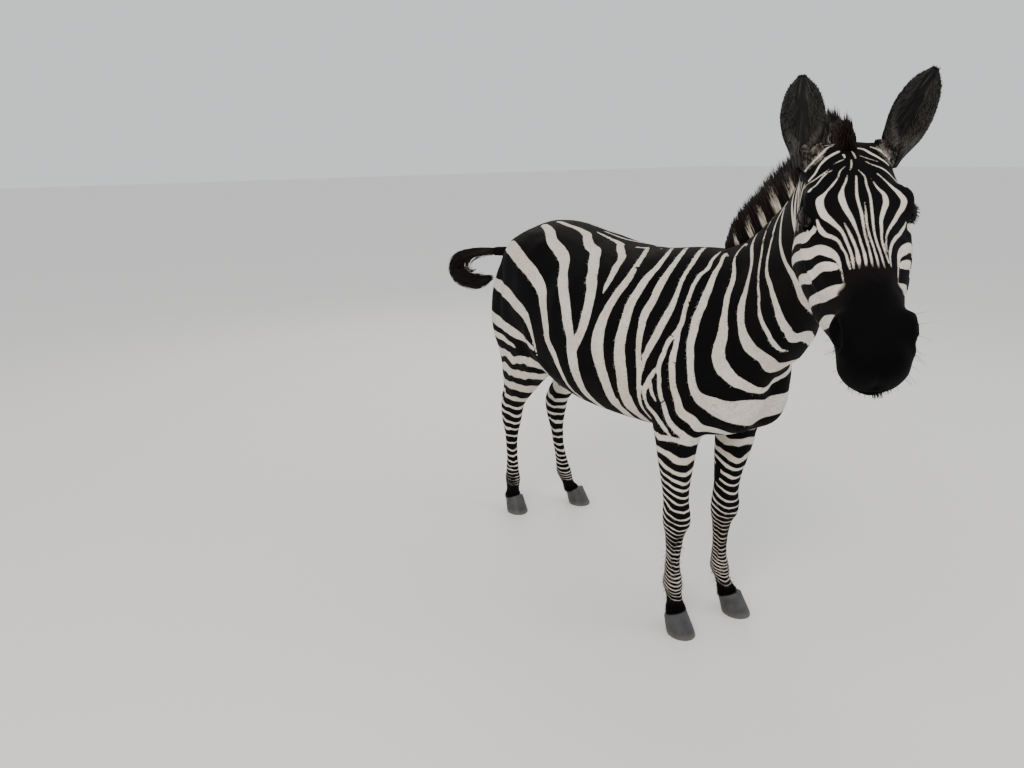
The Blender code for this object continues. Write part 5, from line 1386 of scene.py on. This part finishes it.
mane = growLocks("mane_locks", roots, aims, sides, (maneSettings["wide"], maneSettings["thick"], lengths),
                 {"stripe": bandField}, maneHair, stiffLock, 0.88, 5)
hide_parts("mane")
for shape in (tuftShape, hairShape, stiffLock):
    bpy.data.objects.remove(shape)

# Tail: strands follow the tail's path inside its outline and part into wisps at the end.
tailSettings = {
    "path": ((0.000, 0.600, 1.125), (-0.018, 0.700, 1.150), (-0.075, 0.790, 1.152), (-0.138, 0.870, 1.145),
             (-0.178, 0.935, 1.115), (-0.190, 0.955, 1.070), (-0.170, 0.910, 1.028), (-0.132, 0.845, 1.022),
             (-0.095, 0.785, 1.045)),
    "radii": ((0.00, 0.034), (0.18, 0.030), (0.40, 0.021), (0.55, 0.024), (0.72, 0.032), (0.88, 0.030),
              (1.00, 0.010)),
    "loop": (-0.135, 0.865, 1.082),  # its middle
    "strands": 2200,
    "places": 14,  # along a strand
}


def tailStrands(name, seed):
    rng = np.random.default_rng(seed)
    shares = np.linspace(0, 1, 241)
    spine = curveAt(tailSettings["path"], shares)
    ahead = unit(np.gradient(spine, axis=0))
    side = unit(np.cross(ahead, (0.80, 0.10, 0.10)))
    above = np.cross(ahead, side)
    radii = steps(tailSettings["radii"], shares)
    count = tailSettings["places"]
    t = np.linspace(0, 1, count)
    links = [(3 * j + k, 3 * j + (k + 1) % 3) for j in range(count - 1) for k in range(3)]
    links = np.array([(a, b, b + 3, a + 3) for a, b in links])
    ends = np.array(((2, 1, 0), (3 * count - 3, 3 * count - 2, 3 * count - 1)))
    points, faces, tones, roots = [], [], [], []
    for strand in range(tailSettings["strands"]):
        start = rng.uniform(0.30, 0.80)
        end = min(start + rng.uniform(0.22, 0.55), rng.uniform(0.90, 1.0))
        turn = rng.uniform(0, 2 * math.pi)
        depthShare = math.sqrt(rng.uniform(0.25, 1.0))
        turns = turn + rng.normal(0, 0.5) * t
        girth = rng.uniform(0.0012, 0.0022)
        at = start + (end - start) * t
        centre, aside, upward = (np.stack([np.interp(at, shares, column) for column in line.T], 1)
                                 for line in (spine, side, above))
        aside, upward = unit(aside), unit(upward)
        stray = 1 + (0.35 if rng.random() < 0.12 else 0.0) * t
        out = (0.40 + 0.55 * depthShare * t ** 0.5) * np.interp(at, shares, radii) * stray
        line = centre + aside * (np.cos(turns) * out)[:, None] + upward * (np.sin(turns) * out)[:, None]
        line += rng.normal(0, 0.0006, line.shape)
        wisp = rng.uniform(0.3, 0.9) if start < 0.52 and rng.random() < 0.07 else 0.0  # some reach into the loop
        line += (np.array(tailSettings["loop"]) - line) * wisp * t[:, None] ** 1.2
        width = girth * np.minimum(1.0, 3.2 * (1 - t) + 0.12) * np.minimum(1, 0.5 + 4 * t)
        angle = (turns[:, None] + np.arange(3) * 2.094)[:, :, None]
        ring = np.cos(angle) * aside[:, None] + np.sin(angle) * upward[:, None]
        faces += (links + strand * count * 3).tolist() + (ends + strand * count * 3).tolist()
        points.append((line[:, None] + width[:, None, None] * ring).reshape(-1, 3))
        tones += [rng.random()] * (count * 3)
        roots.append(line[0])
    mesh = addMesh(name, np.vstack(points) + middle, faces)
    setAttribute(mesh, "tone", tones)
    patch = mapSettings["patch"]
    across, along = np.tile((-patch / 2, 0.0, patch / 2), len(tones) // 3), np.tile(np.repeat(t, 3), len(roots))
    addMap(mesh, np.repeat(rootMap(roots), count * 3, 0) + np.stack((across, (along - 0.5) * patch), 1))
    mesh.shade_smooth()
    return addObject(name, mesh)


tailHair, tree = newMaterial("longBlackTailHair")  # straight coarse hair, brown-black with a shine
tone = addNode(tree, "ShaderNodeAttribute", attribute_name="tone").outputs["Fac"]
addNode(tree, "ShaderNodeOutputMaterial", [addNode(tree, "ShaderNodeBsdfPrincipled", {
    "Base Color": addNode(tree, "ShaderNodeMix", [tone, colour("#080605"), colour("#1b1310")], data_type="RGBA"),
    "Roughness": 0.5, "Specular IOR Level": 0.2})])
tail = tailStrands("tail_strands", 31)
tail.data.materials.append(tailHair)
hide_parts("tail_bend", "tail_tassel")
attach(tail, "root")
report("tail made")

# The floor, the light and the camera.
floor = addObject("floor", addMesh("floor", [(-60, -60, 0), (60, -60, 0), (60, 60, 0), (-60, 60, 0)], [(0, 1, 2, 3)]))
floorMaterial, tree = newMaterial("paleStudioFloor")  # smooth pale floor, dull
addNode(tree, "ShaderNodeOutputMaterial", [addNode(tree, "ShaderNodeBsdfPrincipled", {
    "Base Color": colour("#efedea"), "Roughness": 0.9})])
floor.data.materials.append(floorMaterial)

world = bpy.data.worlds.new("studio")
bpy.context.scene.world = world
world.use_nodes = True
world.node_tree.nodes["Background"].inputs["Color"].default_value = colour("#eceef0")
world.node_tree.nodes["Background"].inputs["Strength"].default_value = 1.0


def addLight(name, place, target, size, power, tint):
    lamp = bpy.data.lights.new(name, "AREA")
    lamp.shape, lamp.size, lamp.energy, lamp.color = "DISK", size, power, colour(tint)[:3]
    made = addObject(name, lamp)
    made.location = place
    made.rotation_euler = (Vector(target) - Vector(place)).to_track_quat("-Z", "Y").to_euler()


addLight("keyLight", (-3.6, -2.6, 4.6), (0, 0, 0.9), 3.0, 170, "#fff4e6")
addLight("fillLight", (3.8, -3.2, 3.0), (0, 0, 0.9), 3.4, 50, "#eaf1ff")
addLight("rearLight", (1.6, 4.2, 3.8), (0, 0, 1.0), 2.8, 60, "#fff6ea")

cameraSettings = {
    "place": (-1.5857, -1.8805, 1.547),
    "way": (0.4941, 0.8200, -0.2889),
    "roll": -1.09,  # degrees
    "lens": 26.72,  # mm, on a sensor 36 mm wide
}
cameraData = bpy.data.cameras.new("camera")
cameraData.lens = cameraSettings["lens"]
cameraData.sensor_width = 36.0
cameraData.clip_start = 0.01
camera = addObject("camera", cameraData)
camera.location = cameraSettings["place"]
way = Vector(cameraSettings["way"]).normalized()
right = way.cross(Vector((0, 0, 1))).normalized()
above = right.cross(way)
roll = math.radians(cameraSettings["roll"])
rightTurned = right * math.cos(roll) + above * math.sin(roll)
aboveTurned = above * math.cos(roll) - right * math.sin(roll)
camera.rotation_euler = Matrix((rightTurned, aboveTurned, -way)).transposed().to_euler()
bpy.context.scene.camera = camera

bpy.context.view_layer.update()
report("done")
